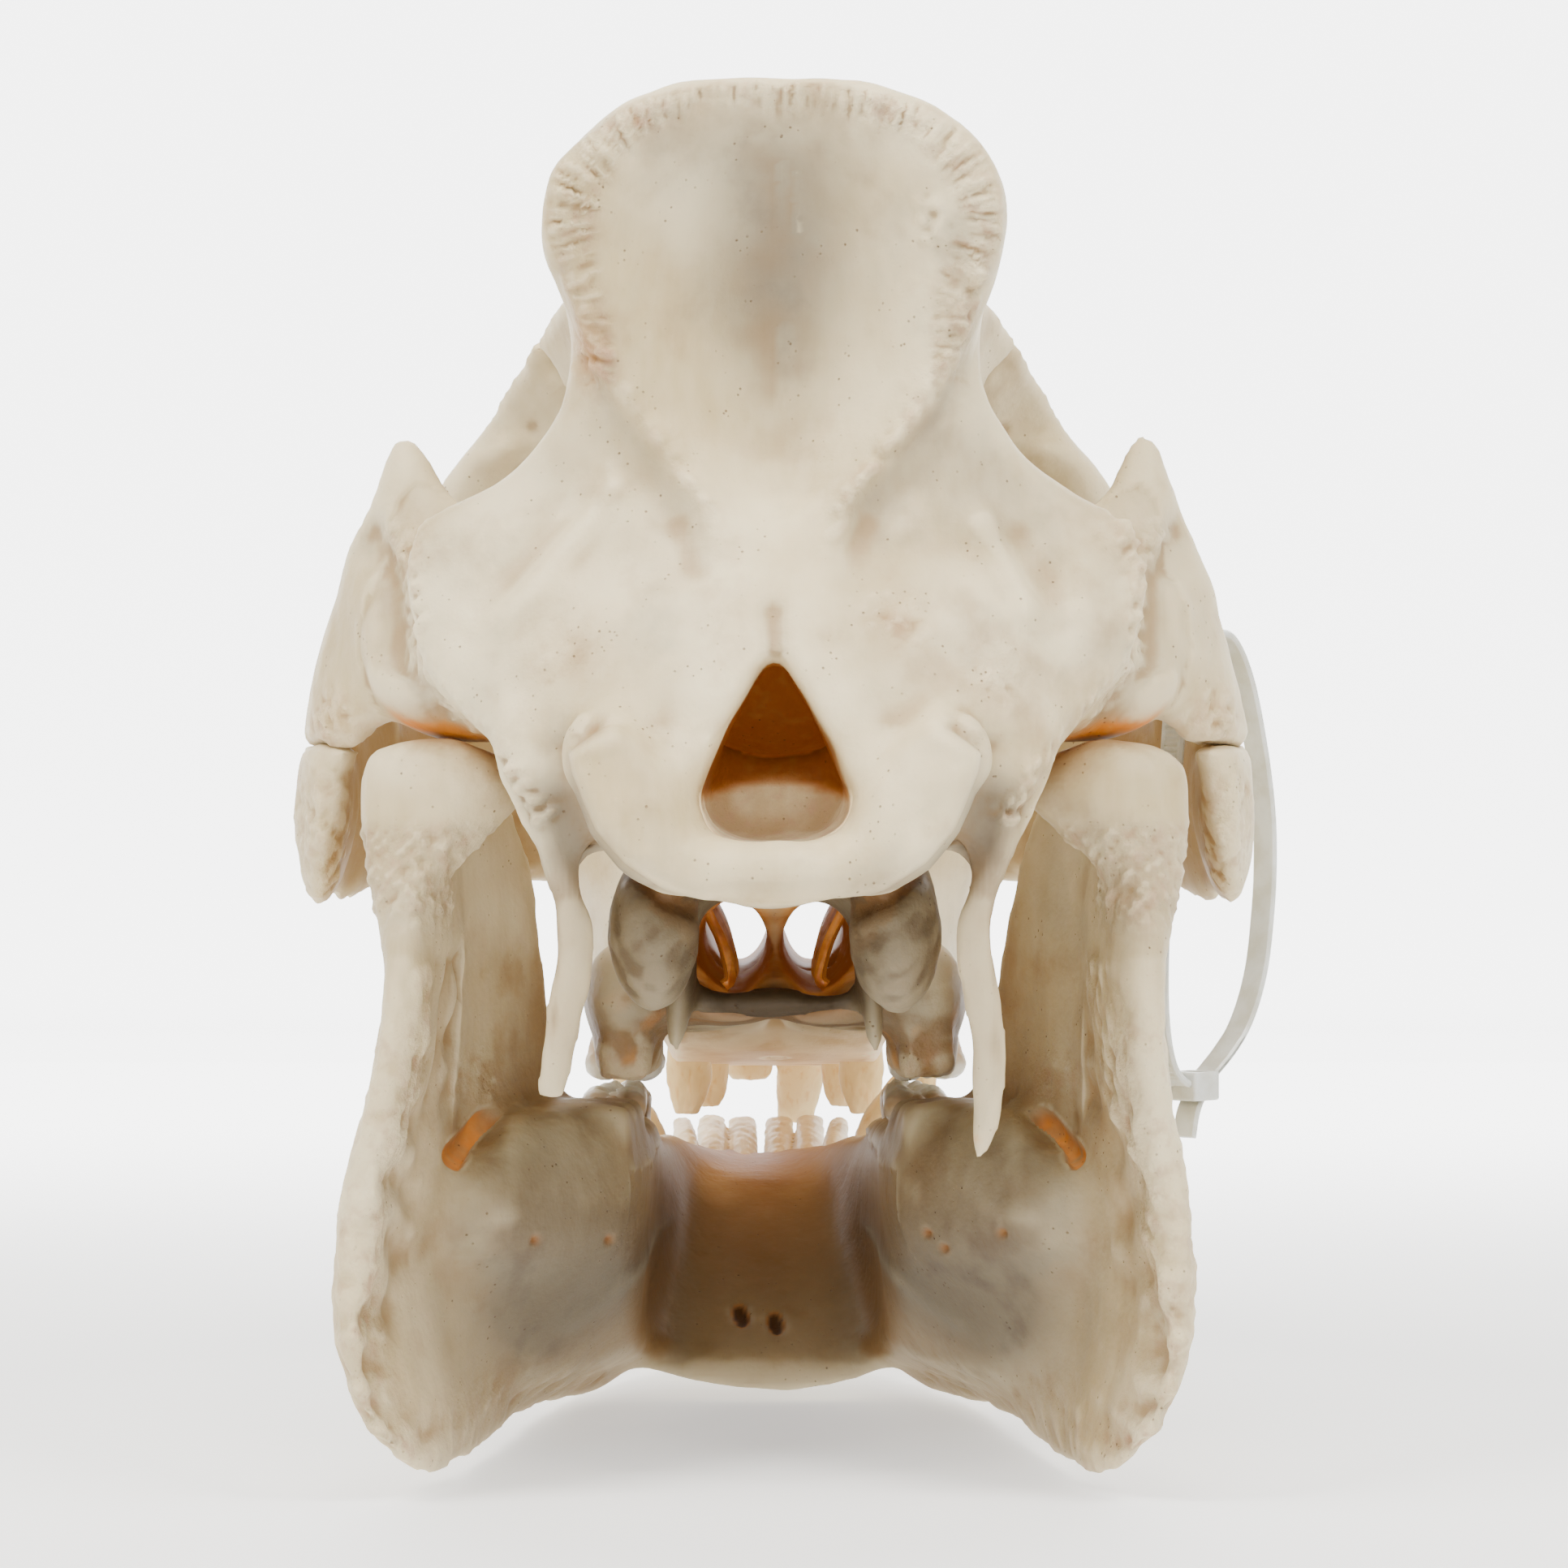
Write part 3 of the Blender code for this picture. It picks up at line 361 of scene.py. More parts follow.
class Clay:
    """The points of a piece in millimetres of the skull, to be pushed about and painted."""

    def __init__(self, obj):
        self.obj = obj
        self.read()
        self.marks = {name: np.zeros(len(self.points)) for name in MARKS}
        self.bare = 0

    def read(self):
        flat = np.empty(len(self.obj.data.vertices) * 3)
        self.obj.data.vertices.foreach_get("co", flat)
        self.points = flat.reshape(-1, 3) / MM - HOME
        self.obj.data.vertex_normals.foreach_get("vector", flat)
        self.normals = flat.reshape(-1, 3).copy()

    def near(self, centre, sizes):
        """1 at the centre, fading out over the sizes."""
        return np.exp(-(((self.points - centre) / sizes) ** 2).sum(axis=1))

    def route(self, line):
        """How far each point is from the line, and how far along it."""
        line = np.array(line, float)
        best = np.full(len(self.points), 1e9)
        run = np.zeros(len(self.points))
        done = 0
        for start, end in zip(line, line[1:]):
            way = end - start
            t = np.clip((self.points - start) @ way / (way @ way), 0, 1)
            gap = np.linalg.norm(self.points - (start + t[:, None] * way), axis=1)
            run = np.where(gap < best, done + t * np.linalg.norm(way), run)
            best = np.minimum(best, gap)
            done += np.linalg.norm(way)
        return best, run

    def across(self, line):
        """The same for a line of (x, z), as seen from behind."""
        flat = Clay(self.obj)
        flat.points = self.points * (1, 0, 1)
        return flat.route([(a, 0, b) for a, b in line])

    def behind(self, line, width):
        """1 on the line of (x, z) as seen from behind, fading out over the width."""
        return hump(self.across(line)[0], width)

    def seen(self, line, width):
        """The same, but only on surfaces that face the nape's side."""
        facing_rear = soft(self.normals[:, 1], 0.0, 0.5) * (self.points[:, 1] > -75)
        return self.behind(line, width) * facing_rear

    def pair(self, centre, sizes):
        """As near, on both sides of the skull."""
        return self.near(centre, sizes) + self.near((-centre[0], *centre[1:]), sizes)

    def grain(self, size, seed, stretch=(1, 1, 1)):
        """Soft waves of about the given size, mostly from -1 to 1."""
        rng = np.random.default_rng(seed)
        total = 0
        for _ in range(9):
            way = rng.normal(size=3)
            way *= (0.6 + 0.8 * rng.random()) * 2 * math.pi / size / np.linalg.norm(way)
            total = total + np.sin((self.points * stretch) @ way + rng.random() * 2 * math.pi)
        return total / 4

    def push(self, amount):
        self.points += self.normals * amount[:, None]

    def mark(self, **amounts):
        for name, amount in amounts.items():
            self.marks[name] = np.clip(self.marks[name] + amount, 0, 1)

    def work(self, mask, amount=0.0, **amounts):
        """Pushes and marks, as much as the mask says."""
        self.push(amount * mask)
        self.mark(**{name: share * mask for name, share in amounts.items()})

    def melt(self, mask, rounds):
        """Smooths the piece where the mask is 1."""
        self.settle()
        copy = self.obj.copy()
        bpy.context.scene.collection.objects.link(copy)
        applied(copy, "SMOOTH", factor=0.5, iterations=rounds)
        self.points += (Clay(copy).points - self.points) * mask[:, None]
        bpy.data.objects.remove(copy)
        self.settle()

    def knit(self, names):
        """Closes the gap to the named nodes, and stains the suture."""
        apart = surroundings.distance((self.points + HOME) * MM, names, 1.2 * MM) / MM
        self.push(0.32 * soft(1.1 - apart, 0, 0.7))
        self.mark(tan=0.55 * soft(0.9 - apart, 0, 0.6) * soft(self.grain(5, 70), -1.2, 0.4))

    def settle(self):
        """Writes the points back and reads their new normals."""
        self.obj.data.vertices.foreach_set("co", ((self.points + HOME) * MM).ravel())
        self.obj.data.update()
        self.read()

    def done(self, material, nodes):
        """Writes points and marks, and gives the piece its material and its place in the part."""
        self.settle()
        here = self.points.copy()
        self.melt(np.ones(len(here)), 14)
        hollow = ((self.points - here) * self.normals).sum(axis=1)
        self.points = here
        self.settle()
        # dip and shelter are measured here for painted shade in hollows and sheltered places, and
        # painted highlight on bulges.
        self.marks["dip"] = np.clip(0.5 + hollow * 1.4, 0, 1)
        sheltered = surroundings.shelter((self.points + HOME) * MM, self.normals)
        self.marks["shelter"] = sheltered * (1 - self.bare)
        for name, values in self.marks.items():
            attribute = self.obj.data.attributes.new(name, "FLOAT", "POINT")
            attribute.data.foreach_set("value", values)
        finish(self.obj, material, nodes)


class Surroundings:
    """All the frame's nodes together: how sheltered each place on them is, and their surfaces."""

    RAYS = 48
    REACH = 75 * MM

    def __init__(self):
        whole = bmesh.new()
        for name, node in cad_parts.items():
            if name != "cable_tie":
                whole.from_mesh(node.data)
        bmesh.ops.remove_doubles(whole, verts=whole.verts, dist=1e-6)
        tree = BVHTree.FromBMesh(whole)
        coarse = [edge for edge in whole.edges if edge.calc_length() > 3 * MM]
        bmesh.ops.subdivide_edges(whole, edges=coarse, cuts=1)
        whole.normal_update()
        turn = np.arange(self.RAYS) * 2.39996
        high = 1 - (2 * np.arange(self.RAYS) + 1) / self.RAYS
        flat = np.sqrt(1 - high**2)
        ways = [Vector(way) for way in zip(flat * np.cos(turn), flat * np.sin(turn), high)]
        self.near = KDTree(len(whole.verts))
        self.values = []
        for index, vert in enumerate(whole.verts):
            start = vert.co + vert.normal * 0.6 * MM
            met = total = 0.0
            for way in ways:
                share = way.dot(vert.normal)
                if share > 0.05:
                    distance = tree.ray_cast(start, way, self.REACH)[3]
                    met += share * (1 - distance / self.REACH) if distance is not None else 0
                    total += share
            self.values.append(met / total)
            self.near.insert(vert.co + vert.normal * 3 * MM, index)
        self.near.balance()
        whole.free()

    def shelter(self, places, normals):
        """From 0 in the open to 1 in a deep hollow, for places in metres."""
        found = []
        for place_now, normal in zip(places, normals):
            close = self.near.find_n(place_now + normal * 3 * MM, 5)
            weights = [1 / (distance + 0.5 * MM) for _, _, distance in close]
            shares = (self.values[index] * w for (_, index, _), w in zip(close, weights))
            found.append(sum(shares) / sum(weights))
        return np.array(found)

    def distance(self, places, names, most):
        """How far places in metres are from the named nodes, up to the most."""
        several = bmesh.new()
        for name in names:
            several.from_mesh(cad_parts[name].data)
        tree = BVHTree.FromBMesh(several)
        several.free()
        found = [tree.find_nearest(place_now, most)[3] for place_now in places]
        return np.array([most if distance is None else distance for distance in found])


def finish(obj, material, nodes):
    obj.data.materials.clear()
    obj.data.materials.append(material)
    for polygon in obj.data.polygons:
        polygon.use_smooth = True
    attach(obj, "root")
    if nodes:
        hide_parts(*nodes)


def soft(value, low, high):
    """0 below low, 1 above high, smooth in between."""
    t = np.clip((value - low) / (high - low), 0, 1)
    return t * t * (3 - 2 * t)


def opposite(line):
    return [(-row[0], *row[1:]) for row in line]


def aside(line, by, lower=0.0):
    """The line moved away from the middle plane."""
    return [(x + math.copysign(by, x), z - lower) for x, z in line]


def outside(line, centre, by):
    """The line with each point moved away from the centre."""
    line = np.array(line)
    ways = line - centre
    return line + ways * by / np.linalg.norm(ways, axis=1)[:, None]


# Lines as seen from behind, x and z; the crest's rim runs from the waist over the top
CREST_RIM = (
    (34, 178), (33.3, 190), (36.8, 199), (37.6, 208), (33, 217), (24, 223.5), (12, 226.5),
    (0, 227.3),
)
NAPE_RIDGE = (
    (33, 196), (30.5, 188), (27, 182), (23.5, 175.5), (19.5, 171), (16, 166), (11.5, 160),
    (7.5, 151), (5.2, 144), (4.6, 139.5),
)
EAR_RIDGE = ((63.5, 157), (59.8, 149), (58.6, 135), (49.4, 124.6), (41.3, 115.8), (37.9, 109.5))
WING_STREAKS = (((25.9, 162.5), (34, 153), (44, 141.4)), ((-33.5, 157), (-38, 149), (-41, 143)))
CONDYLE_EDGE = (
    (26.9, 122.8), (32, 119.3), (31.5, 115.4), (30, 111.4), (27.8, 106.8), (23.7, 102.3),
    (18.1, 98.3), (11.2, 95.2),
)
# Where the jaw's knuckle lay under the arch, in space
JOINT_LINE = ((64, -52, 124.5), (56, -50, 124.5), (48, -48, 120), (42, -46, 116))
# Rough yellowish spots: place, sizes and how rough
ROUGH_SPOTS = (
    ((33.8, -30, 134.6), (6, 9, 5), 0.8), ((-19.9, -15, 142), (5, 9, 5), 0.8),
    ((-34.2, -27, 131.2), (5, 9, 7), 0.8), ((61, -46, 155), (6, 8, 5), 1.3),
    ((-58.5, -44, 155), (5, 8, 5), 1.5), ((74, -64, 125), (5, 9, 5), 1.3),
    ((-74, -64, 126), (5, 9, 5), 1.2), ((30, -30, 183.5), (3.5, 7, 5), 0.8),
)
FURROW_LENGTHS = (1.5, 1.9, 2.4, 3.1, 4.3, 6.1)
# The pale middle of the nape between the wings: half its breadth by height
COLUMN = ((120, 140, 152, 162, 172), (14, 6, 9, 15, 24))
BRAIN_MIDDLE = (0, -68, 143)
BROKEN_TIP = (35.6, -30)
ENDINGS = ("_left", "_right")


def fine_behind(x, y, z):
    """The rims and ridges of the rear, which need a finer mesh than its smooth fields."""
    way_in = (np.abs(x) < 16) & (y < -16) & (z < 136)
    crest_hollow = (x / 24) ** 2 + ((z - 192) / 25) ** 2 < 1
    wings = (np.abs(x) < 48) & (z > 124) & (z < 158)
    return (y > -42) & (z > 96) & ~way_in & ~crest_hollow & ~wings


surroundings = Surroundings()
braincase = refined(cast("braincase_bone", ["braincase"], BRAINCASE_VOXEL), fine_behind)
clay = Clay(braincase)
x, y, z = clay.points.T
facing = np.clip(clay.normals[:, 1], 0, 1)
clay.push(0.35 * clay.grain(22, 1) + 0.2 * clay.grain(11, 2) + 0.06 * clay.grain(5, 3))
clay.knit([name + ending for name in ("frontal", "maxilla", "zygomatic") for ending in ENDINGS])
# Crest: a thin smooth rim, a band of fine furrows inside it, and a deep hollow in the middle
rim = smooth_rows([*CREST_RIM, *[(-a, b) for a, b in CREST_RIM[-2::-1]]], 4)
away, run = clay.across(rim)
high = soft(z, 170, 186) * (y > -42)
wide = 5.5 + 2.5 * soft(np.abs(x), 20, 30) + 1.5 * clay.grain(22, 16)
band = high * soft(away, 0.6, 1.4) * (1 - soft(away, wide - 1.5, wide + 2.5)) * facing
waves = np.random.default_rng(17)
furrow = 0
for length in FURROW_LENGTHS:
    turns = (run + waves.uniform(-0.25, 0.25) * away) * 2 * math.pi / length
    furrow = furrow + np.sin(turns + waves.uniform(0, 6.3)) / 2.2
clay.push(-band * (0.35 + 0.28 * furrow + 0.2 * clay.grain(2.4, 5)))
streaks = soft(furrow + 0.7 * clay.grain(3.5, 21), 0.1, 1.5)
patches = soft(clay.grain(16, 18), -0.5, 0.9)
clay.mark(scar=0.35 * band + 0.6 * band * patches,
          tan=0.55 * band * streaks * (0.15 + patches) + 0.12 * band)
clay.mark(tan=0.5 * high * hump(away - 0.9, 0.6) * facing * soft(clay.grain(10, 19), -0.3, 0.8))
middle = np.interp(z, (176, 205, 224), (-1.3, -1.0, 2.0))
trough = hump(x - middle, np.interp(z, (168, 188, 215), (5, 11, 14.5)))
trough = trough * soft(z, 162, 200) * (1 - soft(z, 212, 227)) * facing * (y > -46)
# The middle hollow is painted grey and dark as painted shade.
clay.work(trough, -2.4, ash=1.0, gloom=0.1)
# Painted highlight: a faint glow on the upper nape where it faces back, outside the hollow and the
# band.
clay.mark(lit=0.16 * facing * soft(z, 160, 178) * (1 - trough) * (1 - band))
clay.push(0.35 * clay.seen([(-1.5, 188), (-1.5, 176)], 1.4))
for offset in (-3.2, -1.2):
    clay.push(0.35 * clay.seen([(offset, 214), (offset - 0.6, 204)], 0.5))
clay.push(clay.near((-25.5, -19, 204), (3, 8, 4.5)) * (1.2 + 0.7 * clay.grain(3, 20)))
# Ridges from the crest down to the middle: the wings beside them lie lower
for line, rough in ((NAPE_RIDGE, 0.6), (opposite(NAPE_RIDGE), 1.0)):
    # Beside each ridge the lowered strip is painted grey as shade, and a painted shadow line runs
    # along it.
    clay.work(clay.seen(aside(line, 4.6, 2), 3.8) * soft(z, 140, 160), -2.0, ash=0.26)
    serrated = clay.seen(line, 1.8) * soft(z, 146, 162)
    clay.push(serrated * (0.7 + rough * (0.5 * clay.grain(3.4, 8) + 0.5 * clay.grain(7, 26))))
    shadow = clay.seen(aside(line, 2.6, 1.2), 1.6) * rough * soft(z, 150, 162)
    clay.mark(scar=0.6 * serrated * rough, tan=0.16 * serrated, ash=0.3 * shadow)
clay.work(clay.near((31, -28, 185), (3, 12, 6)), amber=0.16, tan=0.15)
# A groove above the great hole, rough, and painted grey as shade.
clay.work(clay.seen([(0.1, 142), (0, 136)], 2.2), -1.2, ash=0.3, scar=0.2)
wing = facing * soft(np.abs(x) - np.interp(z, *COLUMN), 0, 7)
wing = wing * soft(z, 104, 116) * soft(-z, -182, -168) * (y > -56)
clay.push(-0.8 * wing + 0.25 * wing * clay.grain(13, 42))
clay.mark(tan=wing * (0.12 + 0.10 * clay.grain(11, 43)),
          ash=wing * (0.10 + 0.08 * clay.grain(19, 44)))
# The wing's outer edge stands proud of the arch behind it, rough as a file
for line in (EAR_RIDGE, opposite(EAR_RIDGE)):
    # The lowered strip beside the edge is painted grey as shade.
    clay.work(clay.seen(aside(line, 4.8), 3.3), -2.3, ash=0.3)
    serrated = clay.seen(line, 1.9)
    coarse = 0.9 + 0.6 * clay.grain(4.0, 9) + 0.35 * clay.grain(2.0, 10)
    clay.work(serrated, coarse, scar=0.5, tan=0.1)
for line in WING_STREAKS:
    clay.push(1.3 * clay.seen(line, 2.4))
    clay.push(-1.0 * clay.seen(aside(line, 6, 2), 3.5))
    clay.push(-1.0 * clay.seen(aside(line, 5.5, -3), 3.5))
for spot, sizes, rough in ROUGH_SPOTS:
    patch = clay.near(spot, sizes)
    clay.push(patch * rough * (0.6 * clay.grain(4.5, 11) + 0.45 * clay.grain(2.2, 12)))
    clay.work(patch, scar=0.7 * rough, tan=0.3 + 0.3 * clay.grain(6, 14), amber=0.06)
clay.push(-1.3 * clay.near((58, -46, 152.5), (1.6, 5, 1.4)))
# Knuckles: smooth ovals whose outer edge overhangs a groove; below, the bone draws back.
# The groove and the bone below are darkened with painted shade, and the ovals carry a painted glow.
for edge in (CONDYLE_EDGE, opposite(CONDYLE_EDGE)):
    centre = (math.copysign(15, edge[0][0]), 112)
    clay.work(clay.seen(outside(edge, centre, 2.4), 1.9), -2.5, tan=0.3, ash=0.35)
    clay.push(1.2 * clay.seen(outside(edge, centre, -1.5), 2.2))
    clay.mark(lit=0.22 * clay.near((centre[0] * 1.35, -4, 109), (11, 12, 10)))
    below = clay.behind(outside(edge[3:], centre, 5.5), 4.0) * (y > -50) * (z > 84)
    clay.work(below, -2.8, ash=0.8, gloom=0.45)
# Arches: a dent above, painted grey as shade, a peak with a notch, and the joint's shelf below,
# orange along the joint
for side in (1, -1):
    clay.mark(ash=0.12 * clay.near((side * 74, -66, 140), (6, 12, 8)))
    clay.push(-0.8 * clay.near((side * 74, -62, 140), (5, 12, 7)))
    peak = clay.near((side * 63.5, -72, 171), (4.5, 12, 4.5))
    clay.points[:, 2] += 2.0 * clay.near((side * 64, -72, 172), (6, 12, 5))
    clay.push(1.3 * peak - 1.0 * clay.near((side * 62, -70, 168.5), (1.2, 9, 1.5)))
    clay.mark(scar=0.5 * peak)
    shelf = clay.near((side * 56, -55, 125.5), (15, 13, 6)) * soft(-clay.normals[:, 2], 0.1, 0.6)
    clay.points[:, 2] -= 1.8 * shelf
    joint = clay.route([(side * a, b, c) for a, b, c in JOINT_LINE])[0]
    clay.mark(amber=0.8 * hump(joint, 2.6) + 0.3 * hump(joint, 7) * (z < 125))
# Brain's hollow and the way in to it, over a pale sill. The hollow is painted orange as light
# shining through its thin walls, and darker deeper in as painted shadow; the sill and the
# orange carry a painted glow.
inside = ((x / 16) ** 2 + ((z - 120) / 19) ** 2 < 1) & (y < -13) & (y > -62)
towards = ((np.array(BRAIN_MIDDLE) - clay.points) * clay.normals).sum(axis=1) > 0
clay.mark(amber=clay.near((0, -66, 143), (26, 34, 27)) * 4 * towards * (y < -30))
clay.work(inside, amber=0.9 * soft(-y, 16, 30) * soft(z, 106, 111) + 0.3 * soft(-y, 30, 44))
sill = inside * (1 - soft(z - 3.5 * (1 - (x / 14) ** 2), 110.2, 113)) * soft(-y, 4, 9)
clay.marks["amber"] *= 1 - sill
crest = facing * soft(z, 160, 178) * (y > -46)
clay.bare = np.clip(sill + 0.8 * crest + clay.pair((42, -82, 165), (14, 28, 28)), 0, 1)
clay.work(sill, scar=0.75, amber=0.06, lit=1)
clay.mark(dark=0.5 * soft(-y, 14, 26) * inside * (1 - sill))
clay.mark(lit=0.13 * clay.marks["amber"] * soft(-y, 20, 40) * (z < 150))
# Under the skull: the hanging processes, ear bulbs and the roof of the throat, darkened,
# browned and greyed with painted shade, most in the throat, on the bulbs and in the flutes.
under = soft(-z, -106, -92)
throat = 1.6 * clay.near((0, -94, 82), (22, 30, 13)) + 0.5 * clay.near((0, -66, 96), (36, 24, 9))
clay.mark(tan=0.2 * under, ash=0.35 * under * (y < -36), gloom=throat)
for side in (1, -1):
    bulb = clay.near((side * 20.5, -60, 88), (11, 16, 17))
    clay.work(bulb, 0.35 * clay.grain(5, 13), ash=1, gloom=0.5, scar=0.15, tan=0.2)
    flute = clay.near((side * 36.5, -34, 88), (4.5, 9, 16))
    clay.push(-0.9 * clay.near((side * 36, -28, 86), (1.6, 9, 16)))
    clay.work(flute, ash=0.6, tan=0.2)
    clay.work(clay.near((side * 33.5, -28, 98), (6, 14, 9)), -0.8, ash=0.7, tan=0.3)
    clay.work(clay.near((side * 34.5, -30, 80), (7, 16, 20)), ash=0.4, tan=0.3)
# The left process is broken off, the right one ends in a grey tip with a red speck
cup = np.linalg.norm(clay.points[:, :2] - BROKEN_TIP, axis=1)
broken = (z < 64) & (x > 0)
clay.points[:, 2] += np.where(broken, 3.0 * np.exp(-(cup / 1.5) ** 4), 0)
clay.mark(tan=0.7 * ((z < 64) & (x > 0)) * hump(cup, 2.2))
clay.mark(ash=0.8 * clay.near((-32.4, -32, 51.5), (3, 3, 2)))
clay.mark(amber=clay.near((-32.2, -28.5, 57), (0.7, 2, 0.7)))
clay.done(bone("bone_braincase", (1, 1, 0.25)), ["braincase"])


# Face: the forehead, nose, upper jaw and cheek bones of both sides, knitted together along
# their sutures into one piece in front of the braincase.
FACE = [name + ending for name in ("frontal", "nasal", "maxilla", "incisive", "zygomatic")
        for ending in ENDINGS]
FACE_VOXEL = 1.3
# Underside of the upper jaw bone along y, where its teeth begin
UPPER_GUM = (
    (-289, -281, -270, -255, -230, -206, -186, -96), (62, 57.5, 57, 60, 63, 65.8, 66.6, 66.3),
)
# Behind this its teeth aren't cut off, because the last ones are still in the bone
LAST_UPPER = -126
# Level of the palate's front part along y
PALATE = ((-275, -240, -215, -200), (55, 58, 62, 66))
EYE_HOLES = (((62, -146, 145), (27, 22, 18)), ((41, -196, 125), (11, 26, 13)))


def without_upper_teeth(x, y, z):
    gum = np.interp(y, *UPPER_GUM)
    if z < gum and y < LAST_UPPER:
        return x, max(y, -286), gum + 3
    return x, y, z


face = cast("face_bone", FACE, FACE_VOXEL, swell=0.25, trim=without_upper_teeth)
clay = Clay(face)
x, y, z = clay.points.T
side, up = np.abs(x), clay.normals[:, 2]
inward = np.clip(-clay.normals[:, 0] * np.sign(x), 0, 1)
clay.push(0.30 * clay.grain(24, 21) + 0.12 * clay.grain(9, 22))
clay.knit(["braincase"])
# Two small holes, each with a painted shadow.
for spot in ((43.3, -100, 177.7), (-40.7, -100, 177)):
    clay.push(-1.2 * clay.near(spot, (1.2, 6, 1.2)))
    clay.mark(tan=0.7 * clay.near(spot, (1.1, 5, 1.1)))
# Nose passages are orange, with a faint painted glow and painted shadow at their foot; the
# mouth roof, facing down, is darkened with painted shade; the inner faces of cheek bones and
# eye sockets are browner.
passage = np.exp(-(((side - 7.4) / 7.6) ** 4 + ((z - 88) / 12.5) ** 4)) * (y > -268)
clay.work(passage, amber=0.95, lit=0.12, dark=0.3 * soft(-z, -90, -80))
roof = soft(-up, 0.1, 0.6) * (side < 30) * (z < 80) * (y < -96)
clay.work(roof, tan=0.3, amber=0.12 * soft(-y, 180, 262))
clay.push(roof * (side < 17) * (y > -225) * 0.35 * np.sin(y * 2 * math.pi / 9 + side * 0.25))
# The palate's front part hangs lower, down to the sockets of the front teeth, and carries a
# painted glow standing for light.
front = soft(-y, 196, 222) * soft(24 - side, 0, 4) * soft(-up, 0.1, 0.5) * (z < 84)
clay.points[:, 2] += front * np.minimum(np.interp(y, *PALATE) - z, 0)
clay.work(front, lit=1.0, amber=0.06, tan=0.15)
# Painted shade: the roof of the throat behind the palate, grey and dark.
clay.work(clay.near((0, -108, 76), (26, 34, 11)), ash=1.4, gloom=0.85 * soft(y, -165, -125))
inner = soft(inward + np.clip(clay.normals[:, 1], 0, 1) * (y < -98), 0.2, 0.7) * soft(side, 54, 64)
clay.mark(tan=0.8 * inner * (z < 150))
clay.points[:, 2] -= 4.5 * clay.pair((76, -114, 97), (10, 20, 7))
for middle, sizes in EYE_HOLES:
    clay.work(clay.pair(middle, sizes), tan=0.4, amber=0.15)
# The brows get no painted shade, and a faint painted glow.
brow = clay.pair((48, -98, 160), (16, 20, 30))
clay.bare = np.clip(1.3 * brow, 0, 1)
clay.mark(lit=0.08 * brow)
knob = soft(side, 70, 76) * soft(-z, -122, -112) * soft(y, -85, -72)
clay.work(knob, 0.35 * clay.grain(4, 23) + 0.2 * clay.grain(2.3, 24), scar=0.6)
gum = np.interp(y, *UPPER_GUM)
clay.mark(tan=0.35 * soft(gum + 7 - z, 0, 6) * (y > -215) * (y < -97) * (side > 18))
# The bulges behind the last upper teeth: rough and scarred, and painted grey as shade.
tuber = clay.pair((25, -103, 64), (12, 18, 11))
clay.work(tuber, 0.4 * clay.grain(5, 25), ash=0.75, tan=0.5, scar=0.5)
clay.mark(amber=0.5 * tuber * soft(clay.grain(7, 27), 0.5, 1.2))
clay.done(bone("bone_face", (1, 0.25, 1)), FACE)


# Lower jaw: one bone in the grown animal, deep behind, with a flaring angle whose edge is
# scarred by the chewing muscles, and a hole for the nerve on the inner side.
JAW_VOXEL = 1.25
# How far the jaw stands to the left of the skull's middle plane
LEAN = 1.8
# Top of the lower jaw bone along y, where its teeth begin
LOWER_GUM = ((-215, -195, -170, -152, -130, -118, -95), (49, 51.6, 52.6, 53.6, 54.6, 57.5, 60))
CHIN_TOP = ((-268, -255, -246, -230), (39.4, 41.4, 43, 46))
# The inner side's slope: y of its top and foot by the distance from the middle
RAMP_SIDES = (20, 24, 28, 32, 36, 40, 44, 48, 52, 56)
RAMP_TOP = (-118, -98, -93, -88, -83, -79, -76, -74, -71, -66)
RAMP_FOOT = (-156, -145, -134, -121, -110, -102, -97, -86, -70, -58)
# Lines and spots as seen from behind, x and z
MARGIN = (
    (57.2, 84), (57.8, 75), (59, 69.6), (59.6, 63.6), (63, 54.7), (65, 49), (65.5, 37),
    (67.3, 31), (68.5, 25), (67, 14), (62, 7),
)
SCALLOPS = ((66, 12.5), (66.5, 20), (64, 5.5), (67.5, 28))
PITS = ((40.9, 36.6), (28.8, 35.2), (-26.3, 36.6), (-38.6, 38), (-29.2, 34.2))
CHIN_HOLES = ((6.6, 12.6), (-0.2, 11.4))
NERVE_HOLE = ((49.6, 56), (53.2, 52))
# How brown the inner side is along y
BROWN = ((-260, -150, -112, -85, -55, -32), (1, 0.95, 0.72, 0.5, 0.38, 0.1))


def without_lower_teeth(x, y, z):
    gum = np.interp(y, *LOWER_GUM)
    if -216 < y < -120 and 15 < abs(x - 2) < 36 and z > gum:
        return x, y, gum - 2
    if y <= -216 and z > np.interp(y, *CHIN_TOP):
        z = np.interp(y, *CHIN_TOP) - 2
    return x, max(y, -266.5), z


def fine_inside(x, y, z):
    """Round the nerve's hole, the chin's holes, the knuckles and the pits."""
    hole = (np.abs(np.abs(x - LEAN) - 52) < 8) & (np.abs(z - 53) < 9) & (y < -50) & (y > -110)
    chin = (np.abs(x - 3) < 9) & (np.abs(z - 12) < 7) & (y < -150)
    beside = (np.abs(x - 1) < 44) & (np.abs(x - 1) > 23)
    pits = (np.abs(z - 36) < 4) & beside & (y > -110) & (y < -60)
    return hole | chin | pits | (z > 86) & (y > -66)


def on_side(mirror, points):
    """Points of the left half of the jaw, or of the right half where mirror is -1."""
    return [(LEAN + mirror * (a - LEAN), b) for a, b in points]


def rearward(high=0.5):
    """1 on the jaw's surfaces that face back or to the middle."""
    return soft(clay.normals[:, 1] + inward, 0, high)


jaw = cast("jaw_bone", ["mandible"], JAW_VOXEL, trim=without_lower_teeth)
